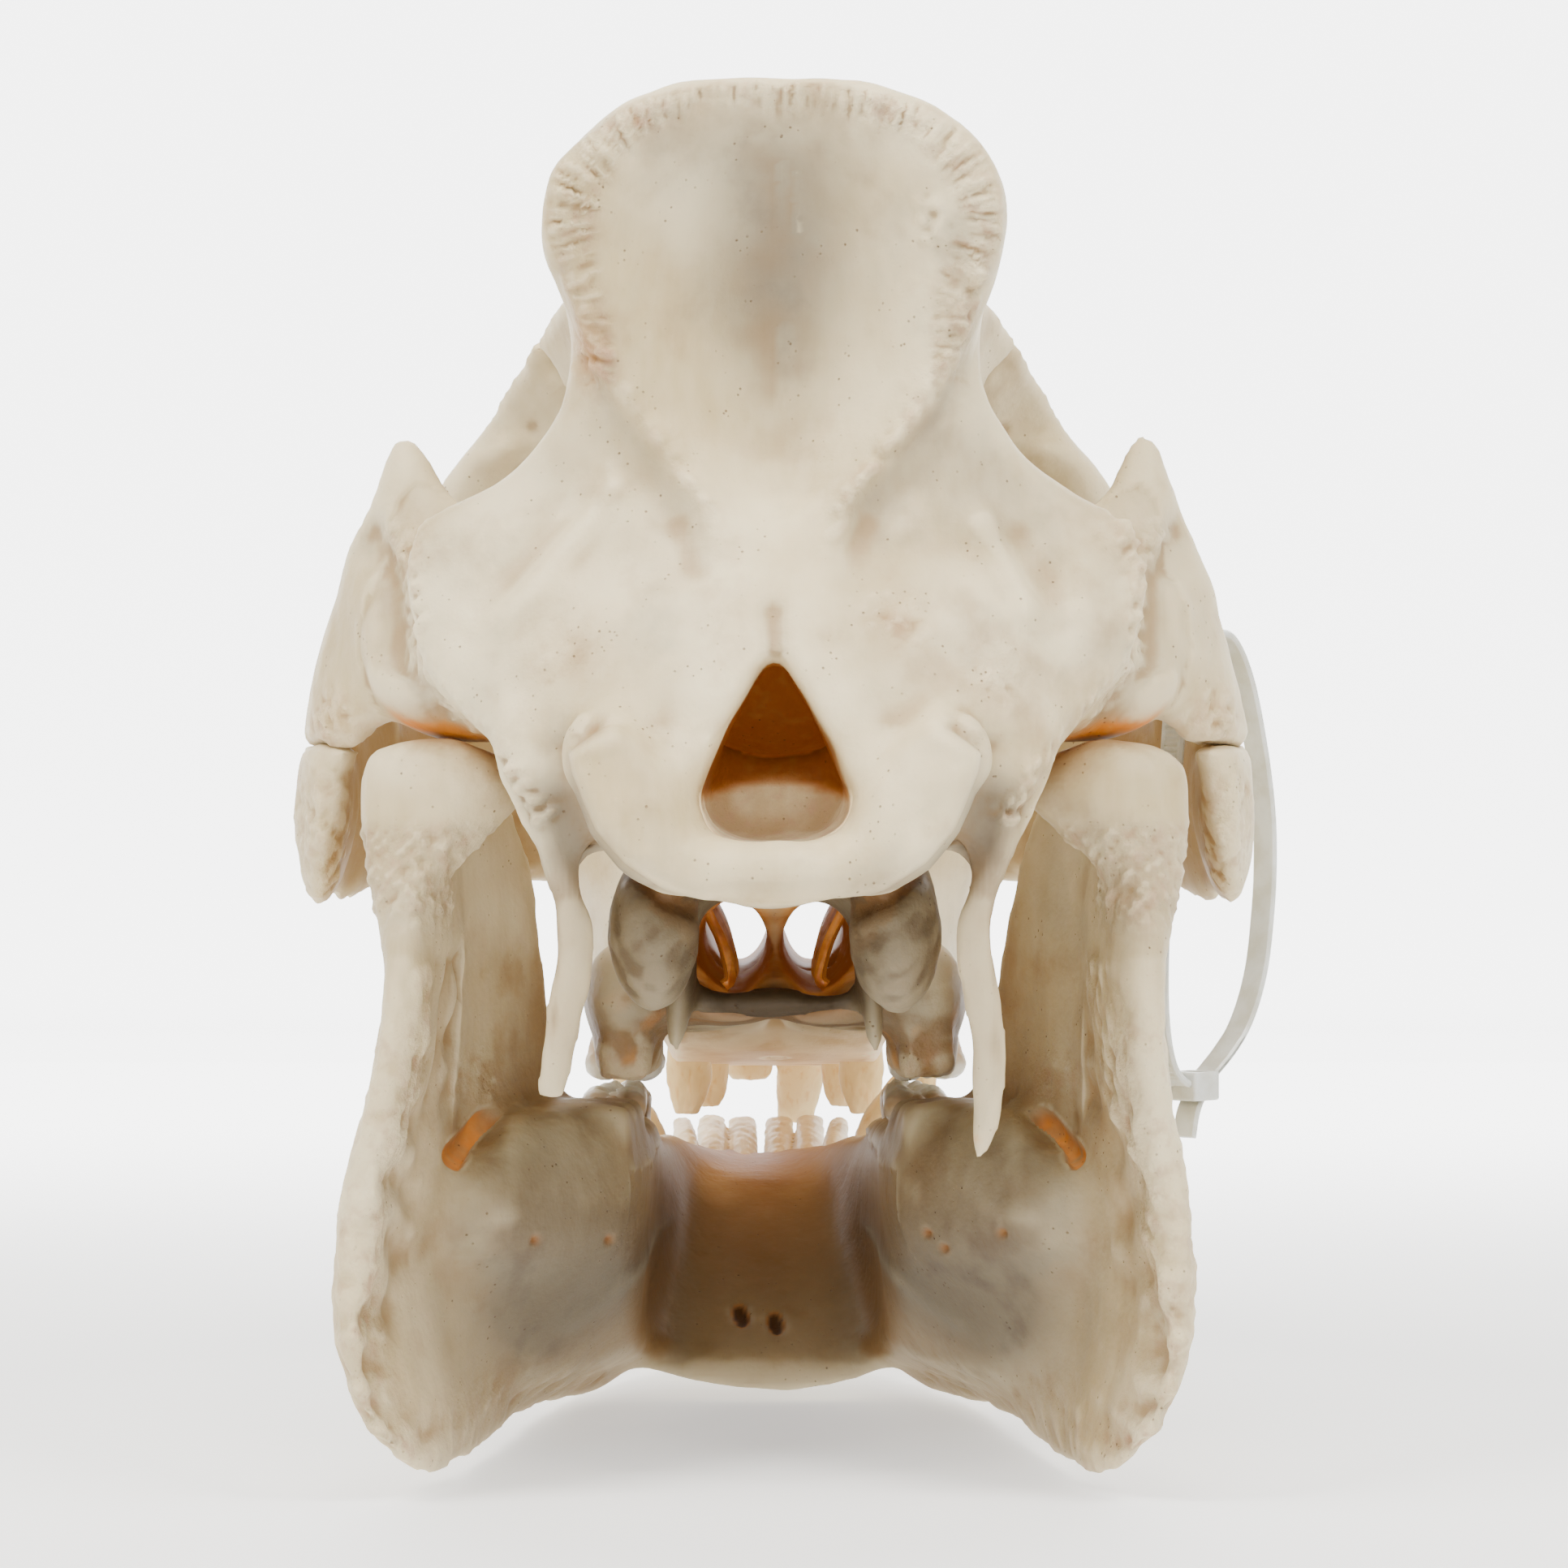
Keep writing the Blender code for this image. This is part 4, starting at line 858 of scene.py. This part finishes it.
# Under the bulge of the last tooth's socket the inner side slopes down to the lower edge
clay = Clay(jaw)
x, y, z = clay.points.T
side = np.abs(x - LEAN)
slope = np.interp(z, (4, 31), (1, 0))
goal = (np.interp(side, RAMP_SIDES, RAMP_TOP) * (1 - slope)
        + np.interp(side, RAMP_SIDES, RAMP_FOOT) * slope)
inner = ((clay.normals[:, 1] > 0.05) | (-clay.normals[:, 0] * np.sign(x - LEAN) > 0.2)
         | ((clay.normals[:, 2] < -0.4) & (z > 13)))
weight = inner * soft(z, 3, 12) * soft(-z, -40, -31) * soft(side, 18, 23) * soft(-side, -56, -51)
clay.points[:, 1] += weight * np.maximum(goal - y, 0) * (y > -175)
clay.settle()
applied(jaw, "REMESH", mode="VOXEL", voxel_size=JAW_VOXEL * MM)
applied(jaw, "SMOOTH", factor=0.5, iterations=8)
refined(jaw, fine_inside)
clay = Clay(jaw)
x, y, z = clay.points.T
side = np.abs(x - LEAN)
inward = np.clip(-clay.normals[:, 0] * np.sign(x - LEAN), 0, 1)
clay.push(0.35 * clay.grain(22, 31) + 0.2 * clay.grain(10, 32) + 0.06 * clay.grain(5, 30))
# Knuckles: smooth on top, with a rough line below where the joint's capsule was fixed
knuckle = soft(z, 88, 96) * (1 - soft(z, 106, 110)) * (side > 40) * (y > -62)
coarse = 0.35 * clay.grain(3.5, 33) + 0.2 * clay.grain(1.9, 34)
clay.work(knuckle, coarse, scar=0.6, ash=0.25, tan=0.15)
# Angle: scalloped hollows along the inner margin, painted grey as shade, and a lumpy rear edge
for line in (on_side(1, MARGIN), on_side(-1, MARGIN)):
    margin = clay.behind(line, 1.5) * (y > -66)
    clay.push(margin * (1.0 + 0.8 * clay.grain(5, 35)))
    beside = clay.behind([(a - math.copysign(4, a), b) for a, b in line], 2.4) * (y > -70)
    clay.push(-beside * (1.3 + 1.1 * clay.grain(9, 36)))
    clay.mark(scar=0.4 * margin, tan=0.2 * beside, ash=0.12 * beside)
rear = soft(y, -48, -36) * soft(-z, -88, -70) * (side > 52)
clay.work(rear, 0.35 * clay.grain(9, 37) + 0.22 * clay.grain(3.5, 38), scar=0.55)
for a, b in on_side(1, SCALLOPS) + on_side(-1, SCALLOPS):
    scallop = clay.near((a, -36, b), (3.2, 9, 2.3)) * soft(clay.normals[:, 1], -0.2, 0.4)
    clay.work(scallop, -1.8, ash=0.3, tan=-0.3)
low = soft(-z, -16, -6) * (side > 30)
clay.push(low * 0.3 * clay.grain(5, 39) * (z > 2))
clay.mark(scar=0.35 * low)
# Inner side: browner the deeper it lies, brownest in the trough of the chin, partly the bone's
# own brown and partly painted shade.
trough = soft(35 - side, 0, 25) * soft(-y, 84, 110)
trough = trough * soft(clay.normals[:, 1] + clay.normals[:, 2] + inward, -0.1, 0.6)
chin_shade = hump(x - 2.5, 12) * hump(z - 24, 13) * soft(-y, 120, 160)
deep = inward * np.interp(y, *BROWN) * soft(-z, -98, -80)
clay.mark(tan=np.maximum(deep, trough * 0.55) + 0.4 * chin_shade,
          amber=0.2 * trough * soft(z, 14, 40) * hump(x - LEAN, 16), gloom=0.05 * chin_shade)
# Painted shade: the bulge under the last tooth's socket, grey and dark where it faces back and
# inwards.
bulge = hump(side - 37, 19) * hump(z - 37, 24) * soft(-y, 52, 68) * soft(y, -150, -125)
clay.work(bulge * rearward(0.4), ash=1.0, gloom=0.3)
back = (y < -56) * (y > -122) * rearward()
under = hump(side - 35, 13) * hump(z - 26, 9) + hump(side - 50, 7) * hump(z - 42, 16)
clay.melt(np.clip(1.8 * under * back, 0, 1), 60)
crease = hump(side - 18, 10) * (y < -96) * (y > -250) * soft(z, 3, 10) * (z < 46)
# Along the trough's corner the painted shade is greyer and less brown.
corner = hump(side - 17, 4) * (y < -130) * (z < 40) * rearward(0.4)
clay.work(corner, tan=-0.35, ash=0.3, gloom=-0.2)
chin = clay.near((LEAN, -236, 38), (22, 24, 9))
clay.melt(np.clip(1.6 * crease + 1.4 * chin, 0, 1), 100)
clay.work(clay.near((LEAN, -250, 42), (26, 34, 9)), tan=0.5, amber=0.2)
x, y, z = clay.points.T
for mirror in (1, -1):
    # Painted shade: grey and dark in the hollow under the bulge, grey-brown on the flank, grey
    # below the knuckle.
    hollow = clay.behind(on_side(mirror, ((24, 31), (40, 22))), 9) * (y < -70) * rearward()
    clay.work(hollow, ash=1, gloom=0.35, tan=-0.25)
    flank = clay.behind(on_side(mirror, ((18, 34), (20, 8))), 6) * (y < -90) * rearward()
    clay.work(flank, tan=0.4, ash=0.35, gloom=0.1)
    clay.work(clay.near((LEAN + mirror * 60, -34, 88), (9, 14, 9)), ash=0.3, tan=0.1)
    streak = clay.behind(on_side(mirror, ((36, 20.5), (22, 29.5))), 1.8) * (y < -70)
    clay.work(streak, 0.4, tan=-0.5)
    pillar = clay.behind(on_side(mirror, ((45.8, 58), (45.8, 42))), 3.0)
    clay.push(0.9 * pillar * (y > -95) * (y < -60))
    # The nerve's hole, slanting down and inwards, rough above; it is painted orange with a painted
    # glow
    mouth = clay.behind(on_side(mirror, NERVE_HOLE), 2.5) * (y < -54) * soft(inward, 0, 0.4)
    clay.push(-3.2 * soft(mouth, 0.2, 0.75))
    clay.mark(amber=soft(mouth, 0.25, 0.7) * (0.6 + 0.25 * clay.grain(3, 45, (1, 1, 0.3))),
              lit=0.6 * mouth)
    above = clay.behind(on_side(mirror, ((52, 65), (50, 61))), 4.0) * inward * (y < -54)
    clay.work(above, 0.3 * clay.grain(3, 40), scar=0.5)
# Small pits, painted orange with a painted shadow inside.
for a, b in PITS:
    pit = clay.behind([(a, b), (a, b + 0.1)], 0.7) * (y < -60) * (y > -112)
    pit = pit * (clay.normals[:, 1] > 0.1)
    clay.work(pit, -0.8, amber=0.4, dark=0.5 * pit)
# The chin's holes, each with a painted shadow and an orange rim.
for a, b in CHIN_HOLES:
    pit = clay.behind([(a - 0.2, b - 0.4), (a + 0.3, b + 0.5)], 1.4) * (y < -150)
    pit = pit * (clay.normals[:, 1] > 0)
    clay.push(-1.6 * pit)
    clay.mark(dark=0.85 * soft(pit, 0.3, 0.6), amber=0.5 * soft(pit, 0.2, 0.4))
clay.done(bone("bone_jaw", (1, 1, 0.2)), ["mandible"])


# Teeth: low crowns of blunt cusps in enamel, brown in their furrows, partly as painted shade, and
# yellow at the neck.
# Each stands with its root in the jaw bone. The tusks and front teeth are slender pegs.
# y, x, length, width, cusps along and level of the tip
UPPER_CHEEK = (
    (-207, 26.5, 7.4, 4.6, 1, 58.8), (-195.5, 27, 11.4, 6, 2, 58.8),
    (-182.5, 27.5, 12.8, 8.5, 2, 59.2), (-169.5, 28, 11.8, 11.5, 1, 59.6),
    (-155, 28, 15.8, 13, 2, 60), (-136.5, 27.5, 19.4, 14.5, 2, 60.4),
)
LOWER_CHEEK = (
    (-200, 24.5, 9.4, 4.2, 1, 56), (-188.5, 25.5, 11.4, 5, 2, 57.6),
    (-175.5, 26, 12.8, 6.5, 2, 58.2), (-162, 26.5, 13.4, 8.5, 2, 58.7),
    (-147, 27, 15.4, 10, 2, 59.2), (-129, 27.5, 19, 12, 2, 59.6),
)
TOOTH_VOXEL = 0.45
PEG_SIDES = 20


def body(rings, closed=False):
    """A solid through rings of places in millimetres, capped, or closed to a loop."""
    bm = bmesh.new()
    made = [[bm.verts.new(place(*point)) for point in ring] for ring in rings]
    for ring, following in zip(made, made[1:] + made[:1] if closed else made[1:]):
        for i, vert in enumerate(ring):
            j = (i + 1) % len(ring)
            bm.faces.new((vert, ring[j], following[j], following[i]))
    if not closed:
        bm.faces.new(made[0])
        bm.faces.new(made[-1])
    bmesh.ops.recalc_face_normals(bm, faces=bm.faces)
    return new_piece("body", bm)


def bead(centre, sizes):
    bm = bmesh.new()
    bmesh.ops.create_icosphere(bm, subdivisions=2, radius=MM)
    matrix = Matrix.Translation(place(*centre)) @ Matrix.Diagonal((*sizes, 1))
    bmesh.ops.transform(bm, matrix=matrix, verts=bm.verts)
    return new_piece("bead", bm)


def fused(name, pieces, voxel, rounds):
    """One closed skin round all the pieces."""
    bm = bmesh.new()
    for piece in pieces:
        bm.from_mesh(piece.data)
        bpy.data.objects.remove(piece)
    obj = new_piece(name, bm)
    applied(obj, "REMESH", mode="VOXEL", voxel_size=voxel * MM)
    return applied(obj, "SMOOTH", factor=0.5, iterations=rounds)


def cheek_tooth(rng, y, x, length, width, along, tip, gum, way):
    """A crown of cusps in pairs on a waisted body; way is 1 for teeth that grow up."""
    tall = abs(tip - gum)
    rings = []
    for depth, swell in ((tall + 5, 0.72), (tall + 1, 0.84), (0.7 * tall, 0.97),
                         (0.45 * tall, 1), (0.3 * tall, 0.9)):
        ring = []
        for t in np.linspace(0, 2 * math.pi, 48, endpoint=False):
            c, s = math.cos(t), math.sin(t)
            run = math.copysign(abs(c) ** 0.7, c)
            # Waists between the lobes
            lobe = math.sin(math.pi * along * (run + 1) / 2 + math.pi / 2) ** 2
            waist = 1 - 0.14 * lobe * (along > 1)
            out = math.copysign(abs(s) ** 0.75, s) * width / 2 * waist
            ring.append((x + out * swell, y + run * length / 2 * swell, tip - way * depth))
        rings.append(ring)
    pieces = [body(rings)]
    step = length / along
    for i in range(along):
        at_y = y - length / 2 + step * (i + 0.5)
        for j in ((-1, 1) if width >= 8 else (0,)):
            size = 1 + rng.uniform(-0.06, 0.06)
            wide = (0.27 if j else 0.42) * width * size
            pieces.append(bead((x + j * 0.24 * width, at_y, tip - way * 3.2 * size),
                               (wide, 0.42 * step * size, 3.2)))
        if width >= 8:
            pieces.append(bead((x, at_y + step / 2, tip - way * 3.0),
                               (0.16 * width, 0.2 * step, 2.0 + rng.uniform(0, 0.4))))
    return pieces


def peg(rows, level):
    """A tooth through (x, y, z, half width, half depth), its sections level or upright."""
    rings = []
    for x, y, z, wide, deep in smooth_rows(rows, 6):
        turn = [(wide * math.cos(t), deep * math.sin(t))
                for t in np.linspace(0, 2 * math.pi, PEG_SIDES, endpoint=False)]
        rings.append([(x + a, y + b, z) if level else (x + a, y, z + b) for a, b in turn])
    return body(rings)


def enamel(name):
    made, shader, at = new_material(name)
    tan, amber, scar, dip, lit = [
        painted(at, mark) for mark in ("tan", "amber", "scar", "dip", "lit")]
    clouds = between(cloud(at, 7, 3), 0.35, 0.65)
    lines = between(cloud(at, 1.1, 3, stretch=(1, 1, 0.12), seed=2.0), 0.5, 0.75)
    colour = blend(clouds, (0.66, 0.60, 0.47), (0.72, 0.68, 0.58))
    colour = blend(lines * 0.22, colour, (0.45, 0.30, 0.14))
    colour = blend(tan, colour, (0.42, 0.25, 0.09))
    colour = blend(amber, colour, blend(lines * 0.5, (0.72, 0.50, 0.20), (0.60, 0.28, 0.06)))
    # Painted shade: dark brown in the furrows and hollows of the crowns.
    colour = blend(between(dip, 0.55, 0.9) * 0.85, colour, (0.13, 0.06, 0.02))
    colour = blend(scar, colour, (0.38, 0.25, 0.13))
    height = cloud(at, 1.6, 4, seed=8.0) * 0.5 + lines * 0.3
    bump = at.node("ShaderNodeBump", Height=height, Strength=0.25, Distance=0.3 * MM)
    # Where lit is marked the enamel glows in its own colour: a painted glow.
    feed(shader, Base_Color=colour, Normal=bump, Emission_Color=blend(lit, (0, 0, 0), colour),
         Roughness=0.32 + tan * 0.3 + scar * 0.2 + amber * 0.25)
    steady(shader, Emission_Strength=0.8, Subsurface_Weight=0.15,
           Subsurface_Radius=(1.0, 0.6, 0.3), Subsurface_Scale=1.5 * MM,
           Coat_Weight=0.1, Coat_Roughness=0.2)
    return made


enamel_paint = enamel("enamel")
rng = np.random.default_rng(11)
for mirror, ending in ((1, "_left"), (-1, "_right")):
    upper, lower = [], []
    for row in UPPER_CHEEK:
        gum = np.interp(row[0], *UPPER_GUM) + 1.5
        upper += cheek_tooth(rng, row[0], mirror * row[1], *row[2:], gum, -1)
    for row in LOWER_CHEEK:
        gum = np.interp(row[0], *LOWER_GUM) - 1
        lower += cheek_tooth(rng, row[0], LEAN + mirror * row[1], *row[2:], gum, 1)
    for name, pieces, nodes, gum_line in (
            ("upper_cheek_teeth", upper, ["maxilla" + ending], UPPER_GUM),
            ("lower_cheek_teeth", lower, ["mandible"], LOWER_GUM)):
        teeth = fused(name + ending, pieces, TOOTH_VOXEL, 2)
        clay = Clay(teeth)
        x, y, z = clay.points.T
        gum = np.interp(y, *gum_line)
        clay.push(0.10 * clay.grain(3.2, 51) + 0.05 * clay.grain(1.5, 52))
        clay.mark(tan=0.8 * (1 - soft(np.abs(z - gum), 0, 4)))
        clay.mark(scar=0.5 * (1 - soft(np.abs(z - 59.5), 0.2, 0.8)) * soft(clay.grain(6, 53), 0, 1))
        clay.done(enamel_paint, nodes)

# Of the first upper pair only the right one is whole, the left one is a stump
UPPER_FIRST = (
    (5.6, -266, 73, 4.4, 4.8), (5.6, -274, 60, 5.2, 4.4), (5.2, -280, 51, 5, 3),
    (4.2, -283, 42.5, 3.8, 1.3),
)
UPPER_STUMP = (
    (5.6, -266, 73, 4.4, 4.8), (5.6, -274, 60, 5, 4.4), (5.5, -277, 54, 4.9, 3.6),
    (5.4, -278, 52, 3.6, 2.4),
)
UPPER_SIDE = (
    ((12.6, -259, 70, 3.4, 4.4), (13.6, -263, 60, 4.3, 3.8), (14, -265.5, 51, 4, 2.4),
     (14.2, -266, 47, 2.6, 1)),
    ((17.6, -245, 70, 3, 4.2), (17.8, -248, 61, 4.4, 4), (17.8, -250, 53, 4.6, 2.4),
     (18.2, -250, 46.5, 2.6, 1)),
)
UPPER_CANINE = (
    (24, -225, 74, 3.6, 4.6), (27.5, -229, 62, 3.6, 4.2), (30.2, -229.5, 56, 2.6, 3),
    (31.4, -229, 51, 0.8, 1),
)
LOWER_FRONT = (
    ((3.5, -246, 31, 2.8, 3.4), (3.8, -264, 36.8, 3.2, 3.4), (3.9, -279, 43, 3, 1.4)),
    ((9.7, -244, 32, 2.8, 3.2), (10.2, -260, 37.4, 3.2, 3.2), (10.4, -276, 43.4, 2.9, 1.4)),
    ((14.2, -240, 36, 2.2, 3), (15.4, -252, 40, 2.5, 2.8), (16.4, -263, 43.8, 2, 1.3)),
)
LOWER_CANINE = (
    (19, -234, 34, 3, 3.6), (23.5, -240, 46, 3, 3.4), (26.8, -241.5, 52, 2, 2.4),
    (28.4, -241, 56, 0.7, 0.9),
)
CHIN_LEAN = 3.0
# Level of the tips of the upper and the lower front teeth
UPPER_TIPS, LOWER_TIPS = 45, 42


def swapped(rows, mirror, lean=0.0):
    return [(lean + mirror * row[0], *row[1:]) for row in rows]


upper, lower = [], []
for mirror, first in ((1, UPPER_STUMP), (-1, UPPER_FIRST)):
    upper += [peg(swapped(rows, mirror), True) for rows in (first, *UPPER_SIDE, UPPER_CANINE)]
    lower += [peg(swapped(rows, mirror, CHIN_LEAN), False) for rows in LOWER_FRONT]
    lower.append(peg(swapped(LOWER_CANINE, mirror, CHIN_LEAN), True))
for name, pieces, nodes, level in (
        ("upper_front_teeth", upper, ["incisive_left", "incisive_right"], UPPER_TIPS),
        ("lower_front_teeth", lower, ["mandible"], LOWER_TIPS)):
    teeth = fused(name, pieces, TOOTH_VOXEL, 2)
    clay = Clay(teeth)
    x, y, z = clay.points.T
    clay.push(0.10 * clay.grain(4, 61) + 0.06 * clay.grain(1.8, 62))
    tips = np.abs(z - level)
    # The faces towards the nape are painted amber with a glow, as light shining through the teeth.
    rear = soft(clay.normals[:, 1], -0.3, 0.5)
    clay.mark(tan=0.2 * soft(tips, 4, 16), lit=0.4 * rear,
              amber=0.25 + rear * (0.6 + 0.12 * soft(tips, 0, 10)))
    clay.done(enamel_paint, nodes)


# Shells of the nose: a thin scrolled sheet of bone on the outer wall of each passage,
# translucent and orange, with a painted glow as of light shining through.
SHELL = ((14.2, 98), (12.6, 92), (10, 86.5), (8.6, 82), (8.2, 79), (9.4, 77.8))
SHELL_THICKNESS = 1.3
SHELL_FROM, SHELL_TO = -106, -236


def shell_ring(y, mirror):
    line = smooth_rows(SHELL, 4) + (0.6 * math.sin(y / 13), 0.8 * math.sin(y / 19 + 1))
    ways = np.gradient(line, axis=0)
    out = np.stack([-ways[:, 1], ways[:, 0]], axis=1) / np.linalg.norm(ways, axis=1)[:, None]
    outline = [*(line + out * SHELL_THICKNESS / 2), *(line - out * SHELL_THICKNESS / 2)[::-1]]
    return [(mirror * a, y, b) for a, b in outline]


sheet_bone, shader, at = new_material("shell_bone")
colour = blend(between(cloud(at, 6, 4), 0.35, 0.7), (0.32, 0.09, 0.01), (0.55, 0.22, 0.04))
veins = between(cloud(at, 2.0, 5, stretch=(1, 0.3, 1), seed=3.0), 0.5, 0.7)
feed(shader, Base_Color=blend(veins * 0.4, colour, UMBER), Emission_Color=colour,
     Roughness=0.5 + veins * 0.2,
     Normal=at.node("ShaderNodeBump", Height=veins, Strength=0.4, Distance=0.3 * MM))
steady(shader, Subsurface_Weight=0.5, Subsurface_Radius=(1.0, 0.45, 0.15), Subsurface_Scale=3 * MM,
       Emission_Strength=0.25)
for mirror, ending in ((1, "_left"), (-1, "_right")):
    shell = body([shell_ring(y, mirror) for y in np.arange(SHELL_FROM, SHELL_TO, -2.5)])
    shell.name = "nose_shell" + ending
    finish(shell, sheet_bone, [])


# Cable tie: a strap of whitish nylon moulded with fine teeth on its inner side, run through its
# own square head, with a short cut tail. It hangs round the right cheek arch.
TIE_PLACE = (-77.6, -93)
TIE_TURN = math.radians(47)
TIE_LOOP = (
    (-4.5, 141), (1.5, 140), (6.5, 133), (10.4, 121), (12.6, 110), (13, 101), (12.3, 92),
    (10.1, 81), (5, 71.5), (-3.5, 64.5), (-9.5, 62.5), (-15, 66), (-17.4, 76), (-17, 92),
    (-14.6, 110), (-12.8, 125), (-12.3, 134), (-9.6, 139.8),
)
TIE_TAIL = ((4, 70.4), (0.5, 67.4), (-4.5, 63.5), (-8.5, 58.5), (-10, 53.5))
TIE_WIDTH = 4.8
TIE_THICKNESS = 1.2
TOOTH_PITCH = 1.0
HEAD = (7, 6.4, 5)
HEAD_WINDOW = (3.6, 4.9)
HEAD_AT = (-7.5, 62.3)
OUT = np.array((-math.cos(TIE_TURN), -math.sin(TIE_TURN), 0))
ACROSS = np.array((math.sin(TIE_TURN), -math.cos(TIE_TURN), 0))


def strap(route, closed):
    """A flat band with rounded edges whose inner side carries a strip of teeth."""
    route = np.array(route)
    legs = np.linalg.norm(np.diff(route, axis=0), axis=1)
    run = np.concatenate([[0], np.cumsum(legs)])
    count = int(run[-1] / (TOOTH_PITCH / 2)) // 2 * 2
    even = np.linspace(0, run[-1], count + (0 if closed else 1), endpoint=not closed)
    out = np.interp(even, run, route[:, 0])
    high = np.interp(even, run, route[:, 1])
    rings = []
    for i in range(len(even)):
        if closed:
            before, after = (i - 1) % count, (i + 1) % count
        else:
            before, after = max(i - 1, 0), min(i + 1, count)
        way = np.array((out[after] - out[before], high[after] - high[before]))
        way = way / np.linalg.norm(way)
        inward = OUT * -way[1] + np.array((0, 0, 1)) * way[0]
        middle = np.array((*TIE_PLACE, 0)) + OUT * out[i] + (0, 0, high[i])
        t, w = TIE_THICKNESS / 2, TIE_WIDTH / 2
        # The teeth stand on the inner side between two smooth rims
        dent = -0.28 if i % 2 else 0.0
        outline = (
            (-w, -0.25), (-w, 0.25), (-w + 0.35, t), (-w + 0.9, t), (-w + 1.0, t + dent),
            (w - 1.0, t + dent), (w - 0.9, t), (w - 0.35, t), (w, 0.25), (w, -0.25),
            (w - 0.35, -t), (-w + 0.35, -t),
        )
        rings.append([middle + ACROSS * a + inward * b for a, b in outline])
    return body(rings, closed)


def block(size, where):
    """A bevelled box turned with the tie."""
    bm = bmesh.new()
    bmesh.ops.create_cube(bm, size=1)
    bmesh.ops.scale(bm, vec=size, verts=bm.verts)
    bmesh.ops.bevel(bm, geom=bm.edges, offset=0.5, offset_type="OFFSET", affect="EDGES", segments=3,
                    profile=0.5, material=-1)
    centre = np.array((*TIE_PLACE, 0)) + OUT * where[0] + (0, 0, where[1])
    turned = Matrix.Rotation(TIE_TURN, 4, "Z") @ Matrix.Scale(MM, 4)
    bmesh.ops.transform(bm, matrix=Matrix.Translation(place(*centre)) @ turned, verts=bm.verts)
    return new_piece("block", bm)


head = block(HEAD, HEAD_AT)
window = block((*HEAD_WINDOW, HEAD[2] + 4), HEAD_AT)
applied(head, "BOOLEAN", operation="DIFFERENCE", object=window, solver="EXACT")
bpy.data.objects.remove(window)
nylon, shader, at = new_material("nylon")
haze = between(cloud(at, 5, 3), 0.35, 0.65)
scuffs = between(cloud(at, 0.8, 3, seed=2.0), 0.6, 0.75)
colour = blend(haze, (0.56, 0.56, 0.50), (0.66, 0.68, 0.66))
feed(shader, Base_Color=blend(scuffs * 0.3, colour, (0.75, 0.78, 0.80)),
     Roughness=0.32 + scuffs * 0.2,
     Normal=at.node("ShaderNodeBump", Height=scuffs + haze, Strength=0.1, Distance=0.1 * MM))
steady(shader, Subsurface_Weight=0.4, Subsurface_Radius=(1.0, 1.0, 1.0), Subsurface_Scale=1.5 * MM)
loop = strap(smooth_rows([*TIE_LOOP, TIE_LOOP[0]], 6), closed=True)
tail = strap(smooth_rows(TIE_TAIL, 6), closed=False)
for piece, name in ((loop, "tie_loop"), (tail, "tie_tail"), (head, "tie_head")):
    piece.name = name
    piece.data.materials.clear()
    piece.data.materials.append(nylon)
    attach(piece, "root")
    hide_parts("cable_tie")
